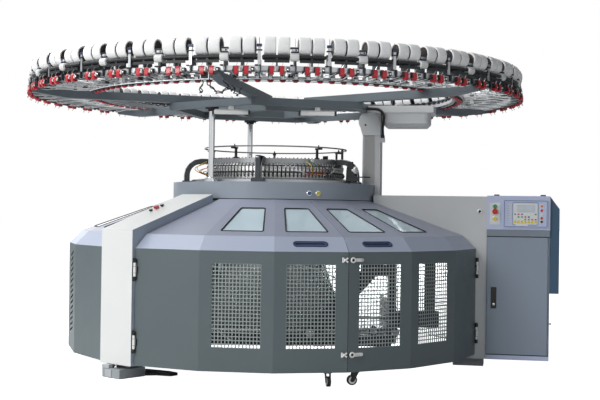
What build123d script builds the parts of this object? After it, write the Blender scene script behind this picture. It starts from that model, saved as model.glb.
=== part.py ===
from build123d import *
from math import atan2, cos, degrees, pi, radians, sin, tan
import os

os.makedirs("parts", exist_ok=True)

# Large circular knitting machine with a guard of flat facets, an elastane yarn creel and
# a control cabinet. Millimetres. The origin is on the cylinder's axis at floor level, the
# operator's front is -Y, and angles are turned from the front towards +X.

# Running and seating clearances
running_gap = 0.06
seat_gap = 0.3
panel_gap = 4
slide_gap = 0.3

# Legs and bed
leg_angles = [-42, 78, 198]
cover_angle = leg_angles[0]
housing_angle = leg_angles[1]
leg_column_depth = 120
column_to_cover = 60
leg_column_half_width = 60
foot_height = 60
foot_past_cover = 35
foot_half_width = 85
anchor_from_foot_end = 45
anchor_hole_r = 11
bed_outer_r = 751
bed_bottom_z = 1165
bed_height = 115
bed_bore_r = 562
bed_wall = 18
bed_ledge_inner_r = 500
bed_ledge_height = 10
bed_beam_inner_r = 600
bed_beam_depth = 105
column_bend_z = 850
column_shoulder_z = 940
cover_bracket_r = 1390
cover_bracket_width = 40
cover_bracket_thickness = 30
cover_bracket_heights = (250, 800)

# Guard of flat facets round the machine
facet_angle = 18
guard_r = 1495
guard_bottom_z = 90
guard_wall_top_z = 835
band_width = 90
roof_inner_r = 760
roof_top_z = 1160
sheet = 4
flange = 40
sector_half_angle = 54
door_meeting_angle = 18
louvre_count = 15
louvre_pitch = 38
louvre_length = 200
louvre_height = 15
louvre_tilt = 12

# Leg covers
cover_half_width = 150
cover_outer_r = 1510
cover_inner_r = 800
cover_bottom_z = 85
cover_fold_z = 950
cover_top_z = 1190
cover_inner_drop = 160
cover_bend_drop = 90
housing_past_cover = 51
housing_inner_r = 755
housing_top_z = 1204

# Windows and mesh of the doors
mesh_width = 310
mesh_height = 520
mesh_centre_z = 497
mesh_columns = 5
mesh_rows = 9
mesh_bar = 12
roof_window_inset = 73
roof_window_low = 0.12
roof_window_high = 0.74
roof_window_top_inset = 66
window_corner_r = 14
glass_thickness = 5
pane_lap = 6
mesh_thickness = 3

# Door furniture
hinge_pivot_r = 1498
hinge_pivot_offset = 163
hinge_low_z = 240
hinge_high_z = 699
hinge_length = 134
knuckle_r = 8
hinge_pin_r = 4
hinge_leaf_thickness = 12
door_leaf_width = 14
door_leaf_middle = 6
door_leaf_drop = 9
handle_length = 215
handle_height = 40
handle_depth = 22
handle_wall = 4
handle_rim = 2
latch_low_z = 200
latch_high_z = 785
latch_boss_r = 19
latch_thickness = 12
latch_bar_length = 68
latch_bar_width = 22
latch_shaft_r = 6
latch_washer_r = 12
latch_from_gap = 24
keeper_width = 28
keeper_height = 34
keeper_thickness = 9
caster_r = 1430
caster_wheel_r = 32
caster_wheel_width = 22
caster_floor_gap = 1
caster_trail = 22
caster_fork_wall = 4
caster_axle_r = 5
caster_stem_r = 8
caster_disc_r = 27
caster_plate_size = 70
caster_plate_thickness = 10
left_caster_from_gap = 105
right_caster_from_gap = 80
left_caster_heading = 10
right_caster_heading = -80

# Needle cylinder and knitting head
cylinder_r = 432
cylinder_wall = 22
cylinder_top_z = 1418
drive_ring_height = 70
skirt_outer_r = 480
skirt_drop = 75
cam_base_inner_r = 442
cam_base_outer_r = 620
cam_base_height = 35
cam_count = 108
cam_box_inner_r = 448
cam_box_outer_r = 505
cam_box_width = 22
cam_box_height = 98
carrier_ring_inner_r = 468
carrier_ring_outer_r = 500
carrier_ring_height = 32
carrier_neck_height = 7
guide_ring_r = 525
guide_ring_section = 9
guide_ring_z = 1531
guide_post_r = 6
guide_post_ring_r = 488
guide_link_height = 8
arch_count = 5
arch_foot_r = 655
arch_width = 34
arch_thickness = 38
arch_bend = 120
head_angle = -10
guide_post_angle = -35

# Posts, column and top frame
post_angles = [-42, 198]
post_ring_r = 670
post_r = 21
post_flange_r = 45
post_flange_height = 14
column_angle = 78
column_inner_r = 660
column_outer_r = 790
column_half_width = 65
column_head_half_width = 76
column_head_r = 75
column_head_shift = 19
column_head_drop = 61
column_neck_drop = 160
cable_entry_length = 30
cable_entry_width = 32
cable_entry_height = 30
beam_top_z = 1850
beam_height = 50
beam_width = 60
hexagon_r = 778
hub_r = 330
arm_height = 55
arm_width = 70
arm_past_ring = 25
arm_taper = 230
arm_tip_share = 0.55
arm_spread = 30
belt_box_inner_r = 805
belt_box_outer_r = 1145
belt_box_half_width = 115
belt_box_height = 103
belt_box_corner_r = 40
belt_box_bevel = 26
plate_past_box = 30
plate_half_width = 125
cable_r = 10
cable_end_shift = -48
cable_end_z = 1620
cable_bend_share = 0.45

# Creel
creel_ring_r = 1745
creel_ring_width = 60
creel_ring_height = 30
bobbin_count = 54
bobbin_r = 56
bobbin_width = 76
bobbin_spacing = 82
roller_side = 22
roller_end_room = 27
roller_spread = 35
cradle_height = 42
cradle_width = 16
stop_length = 112
stop_depth = 30
stop_height = 46
feeder_ring_r = 1308
feeder_ring_width = 26
feeder_ring_height = 22
feeder_depth = 52
feeder_width = 46
feeder_spacing = 77
feeder_height = 62

# Lamps under the top frame
lamp_length = 260
lamp_width = 36
lamp_height = 26
lamp_shifts = [-310, 285]
lamp_distance = 615
lamp_drop = 30

# Take-down unit and fabric
upright_x = 850
upright_width = 60
upright_depth = 110
outer_upright_x = 1125
outer_upright_width = 75
outer_upright_depth = 70
outrigger_inner_x = 640
outrigger_outer_x = 1230
outrigger_bottom_z = 230
outrigger_height = 120
hanger_x = 430
hanger_width = 50
frame_arm_z = 780
frame_arm_height = 55
frame_arm_outer_x = 1210
frame_bottom_z = 110
end_plate = 20
end_plate_front = 260
end_plate_rear = 420
end_plate_height = 330
nip_roller_r = 40
nip_roller_end_gap = 10
nip_gap = 4
nip_z = 190
roller_shaft_r = 15
cloth_roll_r = 90
cloth_roll_length = 1300
cloth_roll_y = 290
cloth_roll_z = 270
front_beam_y = -200
rear_beam_y = 290
beam_size = 80
rear_beam_height = 60
brace_width = 110
brace_thickness = 20
brace_low = (240, 165)
brace_high = (740, 700)
brace_arm_height = 80
fabric_thickness = 8
fabric_top_z = 1390
fabric_tube_z = 700
fabric_tube_r = 385
fabric_flat_z = 240
fabric_end_z = 186
fabric_flat_width = 1240
fabric_flat_thickness = 3

# Cabinet
cabinet_angle = 78
cabinet_width = 435
cabinet_depth = 375
cabinet_bottom_z = 60
cabinet_top_z = 1210
cabinet_wall = 10
cabinet_door_bottom_z = 100
cabinet_door_top_z = 920
cabinet_door_thickness = 18
cabinet_hinge_r = 6
cabinet_hinge_pin_r = 3
cabinet_knuckle_length = 40
cabinet_handle_z = 494
cabinet_handle_from_edge = 52
cabinet_handle_length = 148
cabinet_handle_width = 36
cabinet_handle_thickness = 12
cabinet_handle_pin_r = 3
cabinet_handle_pin_drop = 10
side_box_width = 64
side_box_bottom_z = 530
side_box_drop = 5
side_box_chamfer = 62
side_box_bevel_drop = 84
panel_bottom_z = 972
panel_thickness = 22
plate_centre_r = 1617
plate_width = 70
plate_bottom_z = 1007
plate_top_z = 1161
plate_thickness = 6
keypad_to_plate = 23
keypad_width = 305
keypad_bottom_z = 989
keypad_top_z = 1182
keypad_thickness = 12
keypad_recess = 3
keypad_frame = 24
keypad_corner_r = 6

# Push buttons: head radius, head height, travel
push_head = (13, 9, 4)
stop_head = (19, 14, 6)
button_stem_r = 6
button_stem_length = 14
button_bore_room = 8
start_button_z = 1135
stop_button_z = 1099
jog_button_z = 1049
leg_button_r = 1110
leg_button_shift = -70
leg_button_pitch = 50
bed_button_angles = {"bed_start_button": 18, "bed_reset_button": 23}
bed_button_height = 40

# Heights and sizes that follow from the driving values
leg_column_outer_r = cover_outer_r - column_to_cover
leg_column_inner_r = leg_column_outer_r - leg_column_depth
foot_outer_r = cover_outer_r + foot_past_cover
anchor_radius = foot_outer_r - anchor_from_foot_end
housing_outer_r = cover_outer_r + housing_past_cover
keypad_left_r = plate_centre_r + plate_width / 2 + keypad_to_plate
keypad_right_r = keypad_left_r + keypad_width
bed_top_z = bed_bottom_z + bed_height
band_inner_r = guard_r - band_width
band_top_z = guard_wall_top_z + band_width
cam_base_top_z = bed_top_z + cam_base_height
cam_box_top_z = cam_base_top_z + cam_box_height
carrier_neck_top_z = cam_box_top_z + carrier_neck_height
carrier_top_z = carrier_neck_top_z + carrier_ring_height
arm_top_z = beam_top_z + arm_height
beam_bottom_z = beam_top_z - beam_height
creel_top_z = arm_top_z + creel_ring_height
arm_outer_r = creel_ring_r + arm_past_ring
creel_pitch = 2 * pi * creel_ring_r / bobbin_count
roller_length = creel_pitch - roller_end_room
roller_bottom_z = creel_top_z + cradle_height
roller_top_z = roller_bottom_z + roller_side
skirt_bottom_z = bed_bottom_z + bed_ledge_height + seat_gap - skirt_drop
cover_slope = degrees(atan2(cover_top_z - cover_fold_z, cover_outer_r - cover_inner_r))
cabinet_inner_r = housing_outer_r + 0.5
cabinet_outer_r = cabinet_inner_r + cabinet_width
cabinet_front = -cover_half_width
cabinet_back = cabinet_front + cabinet_depth
edge_offset = cover_half_width + panel_gap


def radial(angle):
    """Direction that points outwards at an angle from the front."""
    return Vector(sin(radians(angle)), -cos(radians(angle)), 0)


def tangent(angle):
    """Direction along the rim at an angle, towards larger angles."""
    return Vector(cos(radians(angle)), sin(radians(angle)), 0)


def side_plane(angle, offset=0):
    """Upright plane along a radius: x runs outwards, y runs up, z runs against the rim."""
    return Plane(origin=tangent(angle) * offset, x_dir=radial(angle), z_dir=tangent(angle) * -1)


def face_plane(angle, distance, height=0, shift=0):
    """Upright plane across a radius: x runs along the rim, y runs up, z runs outwards."""
    origin = radial(angle) * distance + tangent(angle) * shift + Vector(0, 0, height)
    return Plane(origin=origin, x_dir=tangent(angle), z_dir=radial(angle))


def level_plane(angle, distance=0, height=0, shift=0):
    """Level plane: x runs outwards, y runs along the rim, z runs up."""
    origin = radial(angle) * distance + tangent(angle) * shift + Vector(0, 0, height)
    return Plane(origin=origin, x_dir=radial(angle), z_dir=(0, 0, 1))


def guard_corner(angle, level):
    """Corner of the guard at one of its four levels, from the lower edge to the roof's edge."""
    radii = [guard_r, guard_r, band_inner_r, roof_inner_r]
    heights = [guard_bottom_z, guard_wall_top_z, band_top_z, roof_top_z]
    return radial(angle) * radii[level] + Vector(0, 0, heights[level])


def facet_plane(angle, level):
    """Plane of a facet, with its origin at the middle of the lower edge and y up the facet."""
    low_start = guard_corner(angle, level)
    low_end = guard_corner(angle + facet_angle, level)
    high_start = guard_corner(angle, level + 1)
    high_end = guard_corner(angle + facet_angle, level + 1)
    middle = (low_start + low_end) * 0.5
    rise = (high_start + high_end) * 0.5 - middle
    along = (low_end - low_start).normalized()
    return Plane(origin=middle, x_dir=along, z_dir=along.cross(rise.normalized()))


def facet_size(angle, level):
    """Half widths at the lower and upper edge of a facet, and its height up the slope."""
    low = guard_corner(angle + facet_angle, level) - guard_corner(angle, level)
    high = guard_corner(angle + facet_angle, level + 1) - guard_corner(angle, level + 1)
    middle_low = (guard_corner(angle + facet_angle, level) + guard_corner(angle, level)) * 0.5
    middle_high = (guard_corner(angle + facet_angle, level + 1) + guard_corner(angle, level + 1)) * 0.5
    return low.length / 2, high.length / 2, (middle_high - middle_low).length


def facet_sheet(angle, level):
    """One flat facet of sheet, added to the part being built."""
    low, high, rise = facet_size(angle, level)
    with BuildSketch(facet_plane(angle, level)) as outline:
        with BuildLine():
            Polyline((-low, 0), (low, 0), (high, rise), (-high, rise), close=True)
        make_face()
    extrude(outline.sketch, amount=-sheet)


def guard_sheets(first_angle, facets):
    """Wall, band and roof facets with the returned flange along the lower edge."""
    angles = [first_angle + facet_angle * step for step in range(facets)]
    for angle in angles:
        for level in range(3):
            facet_sheet(angle, level)
    ends = angles + [first_angle + facet_angle * facets]
    rim = [radial(angle) * guard_r for angle in ends]
    inside = [radial(angle) * (guard_r - flange) for angle in reversed(ends)]
    with BuildSketch(Plane.XY.offset(guard_bottom_z)) as outline:
        with BuildLine():
            Polyline(*[(point.X, point.Y) for point in rim + inside], close=True)
        make_face()
    extrude(outline.sketch, amount=sheet)


def roof_window(angle, inset):
    """Face of a roof window, narrower towards the bed, on the facet's own plane."""
    low, high, rise = facet_size(angle, 2)
    low_y = rise * roof_window_low
    high_y = rise * roof_window_high
    low_half = low + (high - low) * roof_window_low - roof_window_inset - inset
    high_half = low + (high - low) * roof_window_high - roof_window_top_inset - inset
    with BuildSketch(facet_plane(angle, 2)) as outline:
        with BuildLine():
            Polyline(
                (-low_half, low_y + inset),
                (low_half, low_y + inset),
                (high_half, high_y - inset),
                (-high_half, high_y - inset),
                close=True,
            )
        make_face()
        fillet(outline.vertices(), radius=window_corner_r - inset)
    return outline.sketch


def wall_plane(angle, height):
    """Outer face of a wall facet, with its origin at a height on the facet's middle line."""
    apothem = guard_r * cos(radians(facet_angle / 2))
    return face_plane(angle + facet_angle / 2, apothem, height)


def door_windows(first_angle):
    """Cuts the mesh and roof windows of a door's two windowed facets."""
    for angle in (first_angle, first_angle + facet_angle):
        with BuildSketch(wall_plane(angle, mesh_centre_z)) as outline:
            Rectangle(mesh_width, mesh_height)
        extrude(outline.sketch, amount=-2 * sheet, mode=Mode.SUBTRACT)
        extrude(roof_window(angle, 0), amount=2 * sheet, both=True, mode=Mode.SUBTRACT)


def push_button(seat, head):
    """Head and stem of a push button that stands on a seat plane."""
    head_r, head_height, travel = head
    with BuildSketch(seat.offset(travel + 1)) as button_face:
        Circle(head_r)
    extrude(button_face.sketch, amount=head_height)
    with BuildSketch(seat.offset(travel + 1)) as stem_face:
        Circle(button_stem_r)
    extrude(stem_face.sketch, amount=-travel - 1 - button_stem_length)


def button_bore(seat):
    """Bore for a push button's stem, deep enough for its travel."""
    with BuildSketch(seat) as bore_face:
        Circle(button_stem_r + slide_gap)
    extrude(bore_face.sketch, amount=-button_stem_length - button_bore_room, mode=Mode.SUBTRACT)


def slope_plane(radius, shift):
    """Plane on the slope of the left leg's cover."""
    slope = radians(cover_slope)
    height = cover_fold_z + (cover_outer_r - radius) * tan(slope)
    origin = radial(cover_angle) * radius + tangent(cover_angle) * shift + Vector(0, 0, height)
    normal = radial(cover_angle) * sin(slope) + Vector(0, 0, cos(slope))
    return Plane(origin=origin, x_dir=tangent(cover_angle), z_dir=normal)


# Legs: a column on a foot block, and a top beam that carries the bed
with BuildPart() as legs:
    for angle in leg_angles:
        with BuildSketch(side_plane(angle)):
            with BuildLine():
                Polyline(
                    (leg_column_inner_r, foot_height),
                    (leg_column_outer_r, foot_height),
                    (leg_column_outer_r, column_shoulder_z),
                    (bed_outer_r, bed_bottom_z),
                    (bed_beam_inner_r, bed_bottom_z),
                    (bed_beam_inner_r, bed_bottom_z - bed_beam_depth),
                    (leg_column_inner_r, column_bend_z),
                    close=True,
                )
            make_face()
        extrude(amount=leg_column_half_width, both=True)
        foot_length = foot_outer_r - leg_column_inner_r
        with BuildSketch(level_plane(angle, leg_column_inner_r + foot_length / 2)):
            Rectangle(foot_length, 2 * foot_half_width)
        extrude(amount=foot_height)
        with BuildSketch(level_plane(angle, anchor_radius)):
            Circle(anchor_hole_r)
        extrude(amount=foot_height, mode=Mode.SUBTRACT)
        for bracket_z in cover_bracket_heights:
            with BuildSketch(level_plane(angle, cover_bracket_r, bracket_z)):
                Rectangle(cover_bracket_width, 2 * (cover_half_width - sheet))
            extrude(amount=cover_bracket_thickness)
legs.part.label = "legs"
export_step(legs.part, "parts/legs.step")

# Bed: a hollow ring with an inner ledge that carries the drive ring
with BuildPart() as bed_ring:
    with BuildSketch(Plane.XZ):
        with BuildLine():
            Polyline(
                (bed_ledge_inner_r, bed_bottom_z),
                (bed_outer_r, bed_bottom_z),
                (bed_outer_r, bed_top_z),
                (bed_ledge_inner_r, bed_top_z),
                (bed_ledge_inner_r, bed_top_z - bed_wall),
                (bed_bore_r, bed_top_z - bed_wall),
                (bed_bore_r, bed_bottom_z + bed_ledge_height),
                (bed_ledge_inner_r, bed_bottom_z + bed_ledge_height),
                close=True,
            )
        make_face()
    revolve(axis=Axis.Z)
    for angle in bed_button_angles.values():
        button_bore(face_plane(angle, bed_outer_r, bed_bottom_z + bed_button_height))
bed_ring.part.label = "bed_ring"
export_step(bed_ring.part, "parts/bed_ring.step")


def hollow_cover(angle, outer, inner, half_width):
    """Folded sheet cover over a leg, open at the foot and towards the axis."""
    with BuildSketch(side_plane(angle)) as shell:
        with BuildLine():
            Polyline(*outer, close=True)
        make_face()
    extrude(shell.sketch, amount=half_width, both=True)
    with BuildSketch(side_plane(angle)) as hollow:
        with BuildLine():
            Polyline(*inner, close=True)
        make_face()
    extrude(hollow.sketch, amount=half_width - sheet, both=True, mode=Mode.SUBTRACT)


def sloped_cover_outline(inset, overrun):
    """Outline of a white leg cover, moved inwards by the sheet's thickness."""
    outer = cover_outer_r - inset
    return [
        (leg_column_inner_r - overrun, cover_bottom_z - overrun),
        (outer, cover_bottom_z - overrun),
        (outer, cover_fold_z - inset),
        (cover_inner_r - overrun, cover_top_z - inset + overrun * tan(radians(cover_slope))),
        (cover_inner_r - overrun, cover_top_z - cover_inner_drop),
        (leg_column_inner_r - overrun, cover_fold_z - cover_bend_drop),
    ]


# White covers over the left and rear legs
with BuildPart() as leg_covers:
    for angle in post_angles:
        hollow_cover(angle, sloped_cover_outline(0, 0), sloped_cover_outline(sheet, 60), cover_half_width)
    for shift in (-leg_button_pitch, 0, leg_button_pitch):
        button_bore(slope_plane(leg_button_r + shift, leg_button_shift))
leg_covers.part.label = "leg_covers"
export_step(leg_covers.part, "parts/leg_covers.step")

# Pale drive housing over the right leg, level with the cabinet's front
housing_outline = [
    (leg_column_inner_r, cabinet_bottom_z),
    (housing_outer_r, cabinet_bottom_z),
    (housing_outer_r, housing_top_z),
    (housing_inner_r, housing_top_z),
    (housing_inner_r, cover_top_z - cover_inner_drop),
    (leg_column_inner_r, cover_fold_z - cover_bend_drop),
]
housing_hollow = [
    (leg_column_inner_r - flange, cabinet_bottom_z - flange),
    (housing_outer_r - sheet, cabinet_bottom_z - flange),
    (housing_outer_r - sheet, housing_top_z - sheet),
    (housing_inner_r - flange, housing_top_z - sheet),
    (housing_inner_r - flange, cover_top_z - cover_inner_drop),
    (leg_column_inner_r - flange, cover_fold_z - cover_bend_drop),
]
with BuildPart() as drive_housing:
    hollow_cover(column_angle, housing_outline, housing_hollow, cover_half_width)
drive_housing.part.label = "drive_housing"
export_step(drive_housing.part, "parts/drive_housing.step")


def louvres(angle):
    """Cuts a column of slanted slots in a wall facet."""
    first_z = mesh_centre_z - louvre_pitch * (louvre_count - 1) / 2
    for step in range(louvre_count):
        with BuildSketch(wall_plane(angle, first_z + louvre_pitch * step)) as slot:
            SlotOverall(louvre_length, louvre_height, rotation=louvre_tilt)
        extrude(slot.sketch, amount=-2 * sheet, mode=Mode.SUBTRACT)


# Fixed guard sectors on the left and at the back, each cut to the sides of its leg covers
sector_centres = {"left_guard": -102, "rear_guard": 138}
half_turn_to_leg = 60
for sector_name, centre in sector_centres.items():
    with BuildPart() as guard_sector:
        guard_sheets(centre - sector_half_angle, 6)
        louvres(centre + facet_angle)
        split(bisect_by=side_plane(centre - half_turn_to_leg, cover_half_width), keep=Keep.BOTTOM)
        split(bisect_by=side_plane(centre + half_turn_to_leg, -cover_half_width), keep=Keep.TOP)
    guard_sector.part.label = sector_name
    export_step(guard_sector.part, f"parts/{sector_name}.step")


def handle_plane(angle):
    """Middle of the band facet, where a door's pull handle is let in."""
    facet = facet_plane(angle, 1)
    return facet.shift_origin(facet.from_local_coords((0, facet_size(angle, 1)[2] / 2, 0)))


def handle_opening(angle):
    """Hole for the pull handle in the band."""
    with BuildSketch(handle_plane(angle)) as hole:
        SlotOverall(handle_length, handle_height)
    extrude(hole.sketch, amount=-2 * sheet, mode=Mode.SUBTRACT)


def caster_plate(angle):
    """Plate on the door's lower flange, with a bored boss for the caster's stem."""
    with BuildSketch(level_plane(angle, caster_r, guard_bottom_z)) as plate:
        RectangleRounded(caster_plate_size, caster_plate_size, 8)
    extrude(plate.sketch, amount=caster_plate_thickness)
    with BuildSketch(level_plane(angle, caster_r, guard_bottom_z)) as bore:
        Circle(caster_stem_r + running_gap)
    extrude(bore.sketch, amount=caster_plate_thickness, mode=Mode.SUBTRACT)


def door_knuckles(leg_angle, side):
    """Middle knuckles of a door's two hinges, each with its leaf on the door."""
    for hinge_z in (hinge_low_z, hinge_high_z):
        middle = hinge_z - hinge_length / 6 + seat_gap
        length = hinge_length / 3 - 2 * seat_gap
        base = level_plane(leg_angle, hinge_pivot_r, middle, side * hinge_pivot_offset)
        leaf_shift = side * (hinge_pivot_offset + door_leaf_middle)
        leaf = level_plane(leg_angle, hinge_pivot_r - door_leaf_drop, middle, leaf_shift)
        with BuildSketch(leaf) as leaf_face:
            Rectangle(hinge_leaf_thickness, door_leaf_width)
        extrude(leaf_face.sketch, amount=length)
        with BuildSketch(base) as knuckle:
            Circle(knuckle_r)
        extrude(knuckle.sketch, amount=length)
        with BuildSketch(base) as bore:
            Circle(hinge_pin_r + running_gap)
        extrude(bore.sketch, amount=length, mode=Mode.SUBTRACT)


def latch_plane(height):
    """Latch pivot on the right door's first wall facet, beside the gap between the doors."""
    start = facet_size(door_meeting_angle, 0)[0]
    wall = wall_plane(door_meeting_angle, height)
    return wall.shift_origin(wall.from_local_coords((latch_from_gap - start, 0, 0)))


def latch_holes():
    """Holes for the two latch shafts in the right door."""
    for height in (latch_low_z, latch_high_z):
        with BuildSketch(latch_plane(height)) as hole:
            Circle(latch_shaft_r + running_gap)
        extrude(hole.sketch, amount=-2 * sheet, mode=Mode.SUBTRACT)


def latch_keepers():
    """Keeper blocks on the left door, beside the gap."""
    end = facet_size(0, 0)[0] - panel_gap
    for height in (latch_low_z, latch_high_z):
        with BuildSketch(wall_plane(door_meeting_angle - facet_angle, height)) as block:
            with Locations((end - keeper_width / 2, 0)):
                Rectangle(keeper_width, keeper_height)
        extrude(block.sketch, amount=keeper_thickness)


left_door_angle = door_meeting_angle - 3 * facet_angle
right_door_angle = door_meeting_angle
gap_half = panel_gap / 2
left_caster_angle = door_meeting_angle - degrees(left_caster_from_gap / caster_r)
right_caster_angle = door_meeting_angle + degrees(right_caster_from_gap / caster_r)

# Left door: three facets, hinged on the left leg's cover
with BuildPart() as left_door:
    guard_sheets(left_door_angle, 3)
    door_windows(left_door_angle + facet_angle)
    handle_opening(left_door_angle + 2 * facet_angle)
    latch_keepers()
    split(bisect_by=side_plane(cover_angle, edge_offset), keep=Keep.BOTTOM)
    split(bisect_by=side_plane(door_meeting_angle, -gap_half), keep=Keep.TOP)
    caster_plate(left_caster_angle)
    door_knuckles(cover_angle, 1)
left_door.part.label = "left_door"
export_step(left_door.part, "parts/left_door.step")

# Right door: three facets, hinged at the drive housing
with BuildPart() as right_door:
    guard_sheets(right_door_angle, 3)
    door_windows(right_door_angle)
    handle_opening(right_door_angle)
    latch_holes()
    split(bisect_by=side_plane(door_meeting_angle, gap_half), keep=Keep.BOTTOM)
    split(bisect_by=side_plane(housing_angle, -edge_offset), keep=Keep.TOP)
    caster_plate(right_caster_angle)
    door_knuckles(housing_angle, -1)
right_door.part.label = "right_door"
export_step(right_door.part, "parts/right_door.step")


def mesh_panel(angle):
    """Plate with rows of square holes behind a door's mesh window."""
    column_pitch = mesh_width / mesh_columns
    row_pitch = mesh_height / mesh_rows
    with BuildSketch(wall_plane(angle, mesh_centre_z).offset(-sheet)) as mesh:
        Rectangle(mesh_width + 2 * mesh_bar, mesh_height + 2 * mesh_bar)
        with GridLocations(column_pitch, row_pitch, mesh_columns, mesh_rows):
            Rectangle(column_pitch - mesh_bar, row_pitch - mesh_bar, mode=Mode.SUBTRACT)
    extrude(mesh.sketch, amount=-mesh_thickness)


def roof_pane(angle):
    """Clear pane behind a roof window, lapping under the sheet round it."""
    pane = roof_window(angle, -pane_lap)
    normal = facet_plane(angle, 2).z_dir
    extrude(pane.moved(Location(normal * -sheet)), amount=-glass_thickness)


def pull_handle(angle):
    """Let-in cup of a door's pull handle, with a rim on the band."""
    middle = handle_plane(angle)
    with BuildSketch(middle) as cup:
        SlotOverall(handle_length - 2 * seat_gap, handle_height - 2 * seat_gap)
    extrude(cup.sketch, amount=-handle_depth)
    with BuildSketch(middle) as rim:
        SlotOverall(handle_length + 2 * handle_wall, handle_height + 2 * handle_wall)
    extrude(rim.sketch, amount=handle_rim)
    with BuildSketch(middle.offset(handle_rim)) as pocket:
        SlotOverall(handle_length - 2 * handle_wall, handle_height - 2 * handle_wall)
    extrude(pocket.sketch, amount=handle_wall - handle_depth, mode=Mode.SUBTRACT)


# Mesh, panes and pull handles of the two doors
door_facets = {
    "left_door": [left_door_angle + facet_angle, left_door_angle + 2 * facet_angle],
    "right_door": [right_door_angle, right_door_angle + facet_angle],
}
for door_name, angles in door_facets.items():
    with BuildPart() as grilles:
        for angle in angles:
            mesh_panel(angle)
    grilles.part.label = f"{door_name}_grilles"
    export_step(grilles.part, f"parts/{door_name}_grilles.step")
    with BuildPart() as panes:
        for angle in angles:
            roof_pane(angle)
    panes.part.label = f"{door_name}_glass"
    export_step(panes.part, f"parts/{door_name}_glass.step")

with BuildPart() as left_door_handle:
    pull_handle(left_door_angle + 2 * facet_angle)
left_door_handle.part.label = "left_door_handle"
export_step(left_door_handle.part, "parts/left_door_handle.step")

with BuildPart() as right_door_handle:
    pull_handle(right_door_angle)
right_door_handle.part.label = "right_door_handle"
export_step(right_door_handle.part, "parts/right_door_handle.step")

# Fixed hinge leaves with their outer knuckles and pins, on the leg covers
with BuildPart() as hinge_blocks:
    for leg_angle, side in ((cover_angle, 1), (housing_angle, -1)):
        for hinge_z in (hinge_low_z, hinge_high_z):
            bottom = hinge_z - hinge_length / 2
            with BuildSketch(level_plane(leg_angle, hinge_pivot_r, bottom, side * hinge_pivot_offset)):
                Circle(hinge_pin_r)
            extrude(amount=hinge_length)
            for knuckle_z in (bottom, hinge_z + hinge_length / 6):
                with BuildSketch(level_plane(leg_angle, hinge_pivot_r, knuckle_z, side * hinge_pivot_offset)):
                    Circle(knuckle_r)
                extrude(amount=hinge_length / 3)
                leaf_width = hinge_pivot_offset - cover_half_width
                leaf_middle = side * (cover_half_width + leaf_width / 2)
                with BuildSketch(level_plane(leg_angle, hinge_pivot_r, knuckle_z, leaf_middle)):
                    Rectangle(hinge_leaf_thickness, leaf_width)
                extrude(amount=hinge_length / 3)
hinge_blocks.part.label = "hinge_blocks"
export_step(hinge_blocks.part, "parts/hinge_blocks.step")

# Swing latches: a round boss and bar on a shaft through the right door
for latch_name, height in (("lower_latch", latch_low_z), ("upper_latch", latch_high_z)):
    pivot = latch_plane(height)
    with BuildPart() as latch:
        with BuildSketch(pivot.offset(seat_gap)):
            Circle(latch_boss_r)
            with Locations((latch_bar_length / 2, 0)):
                Rectangle(latch_bar_length, latch_bar_width)
            with Locations((latch_bar_length, 0)):
                Circle(latch_bar_width / 2)
        extrude(amount=latch_thickness)
        with BuildSketch(pivot.offset(seat_gap)):
            Circle(latch_shaft_r)
        extrude(amount=-sheet - 3 * seat_gap)
        with BuildSketch(pivot.offset(-sheet - seat_gap)):
            Circle(latch_washer_r)
        extrude(amount=-sheet)
    latch.part.label = latch_name
    export_step(latch.part, f"parts/{latch_name}.step")

# Casters under the free ends of the doors
caster_axle_z = caster_wheel_r + caster_floor_gap
caster_inside = caster_wheel_width / 2 + 4 * seat_gap
caster_top_z = guard_bottom_z - seat_gap
casters = {
    "left_caster": (left_caster_angle, left_caster_heading),
    "right_caster": (right_caster_angle, right_caster_heading),
}
for caster_name, (angle, heading) in casters.items():
    stem = radial(angle) * caster_r
    upright = Plane(origin=stem, x_dir=radial(heading), z_dir=tangent(heading) * -1)
    floor = Plane(origin=stem, x_dir=radial(heading), z_dir=(0, 0, 1))
    with BuildPart() as fork:
        with BuildSketch(floor.offset(caster_top_z)):
            Circle(caster_disc_r)
        extrude(amount=-2 * caster_fork_wall)
        with BuildSketch(floor.offset(caster_top_z)):
            Circle(caster_stem_r)
        extrude(amount=caster_plate_thickness + 2 * seat_gap)
        with BuildSketch(floor.offset(guard_bottom_z + caster_plate_thickness + seat_gap)):
            Circle(caster_stem_r + 5)
        extrude(amount=caster_fork_wall)
        with BuildSketch(upright):
            with BuildLine():
                Polyline(
                    (-caster_disc_r * 0.7, caster_top_z - caster_fork_wall),
                    (-caster_disc_r * 0.7, caster_top_z - 2 * caster_fork_wall),
                    (caster_trail - 10, caster_axle_z - 9),
                    (caster_trail + 10, caster_axle_z - 9),
                    (caster_disc_r * 0.9, caster_top_z - 3 * caster_fork_wall),
                    (caster_disc_r * 0.9, caster_top_z - caster_fork_wall),
                    close=True,
                )
            make_face()
        extrude(amount=caster_inside + caster_fork_wall, both=True)
        with BuildSketch(upright):
            with Locations((caster_disc_r * 0.1, (caster_top_z - 2 * caster_fork_wall) / 2)):
                Rectangle(4 * caster_disc_r, caster_top_z - 2 * caster_fork_wall)
        extrude(amount=caster_inside, both=True, mode=Mode.SUBTRACT)
        with BuildSketch(upright):
            with Locations((caster_trail, caster_axle_z)):
                Circle(caster_axle_r)
        extrude(amount=caster_inside + 1.5 * caster_fork_wall, both=True)
    fork.part.label = f"{caster_name}_fork"
    export_step(fork.part, f"parts/{caster_name}_fork.step")
    with BuildPart() as wheel:
        with BuildSketch(upright):
            with Locations((caster_trail, caster_axle_z)):
                Circle(caster_wheel_r)
                Circle(caster_axle_r + running_gap, mode=Mode.SUBTRACT)
        extrude(amount=caster_wheel_width / 2, both=True)
    wheel.part.label = f"{caster_name}_wheel"
    export_step(wheel.part, f"parts/{caster_name}_wheel.step")


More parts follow.
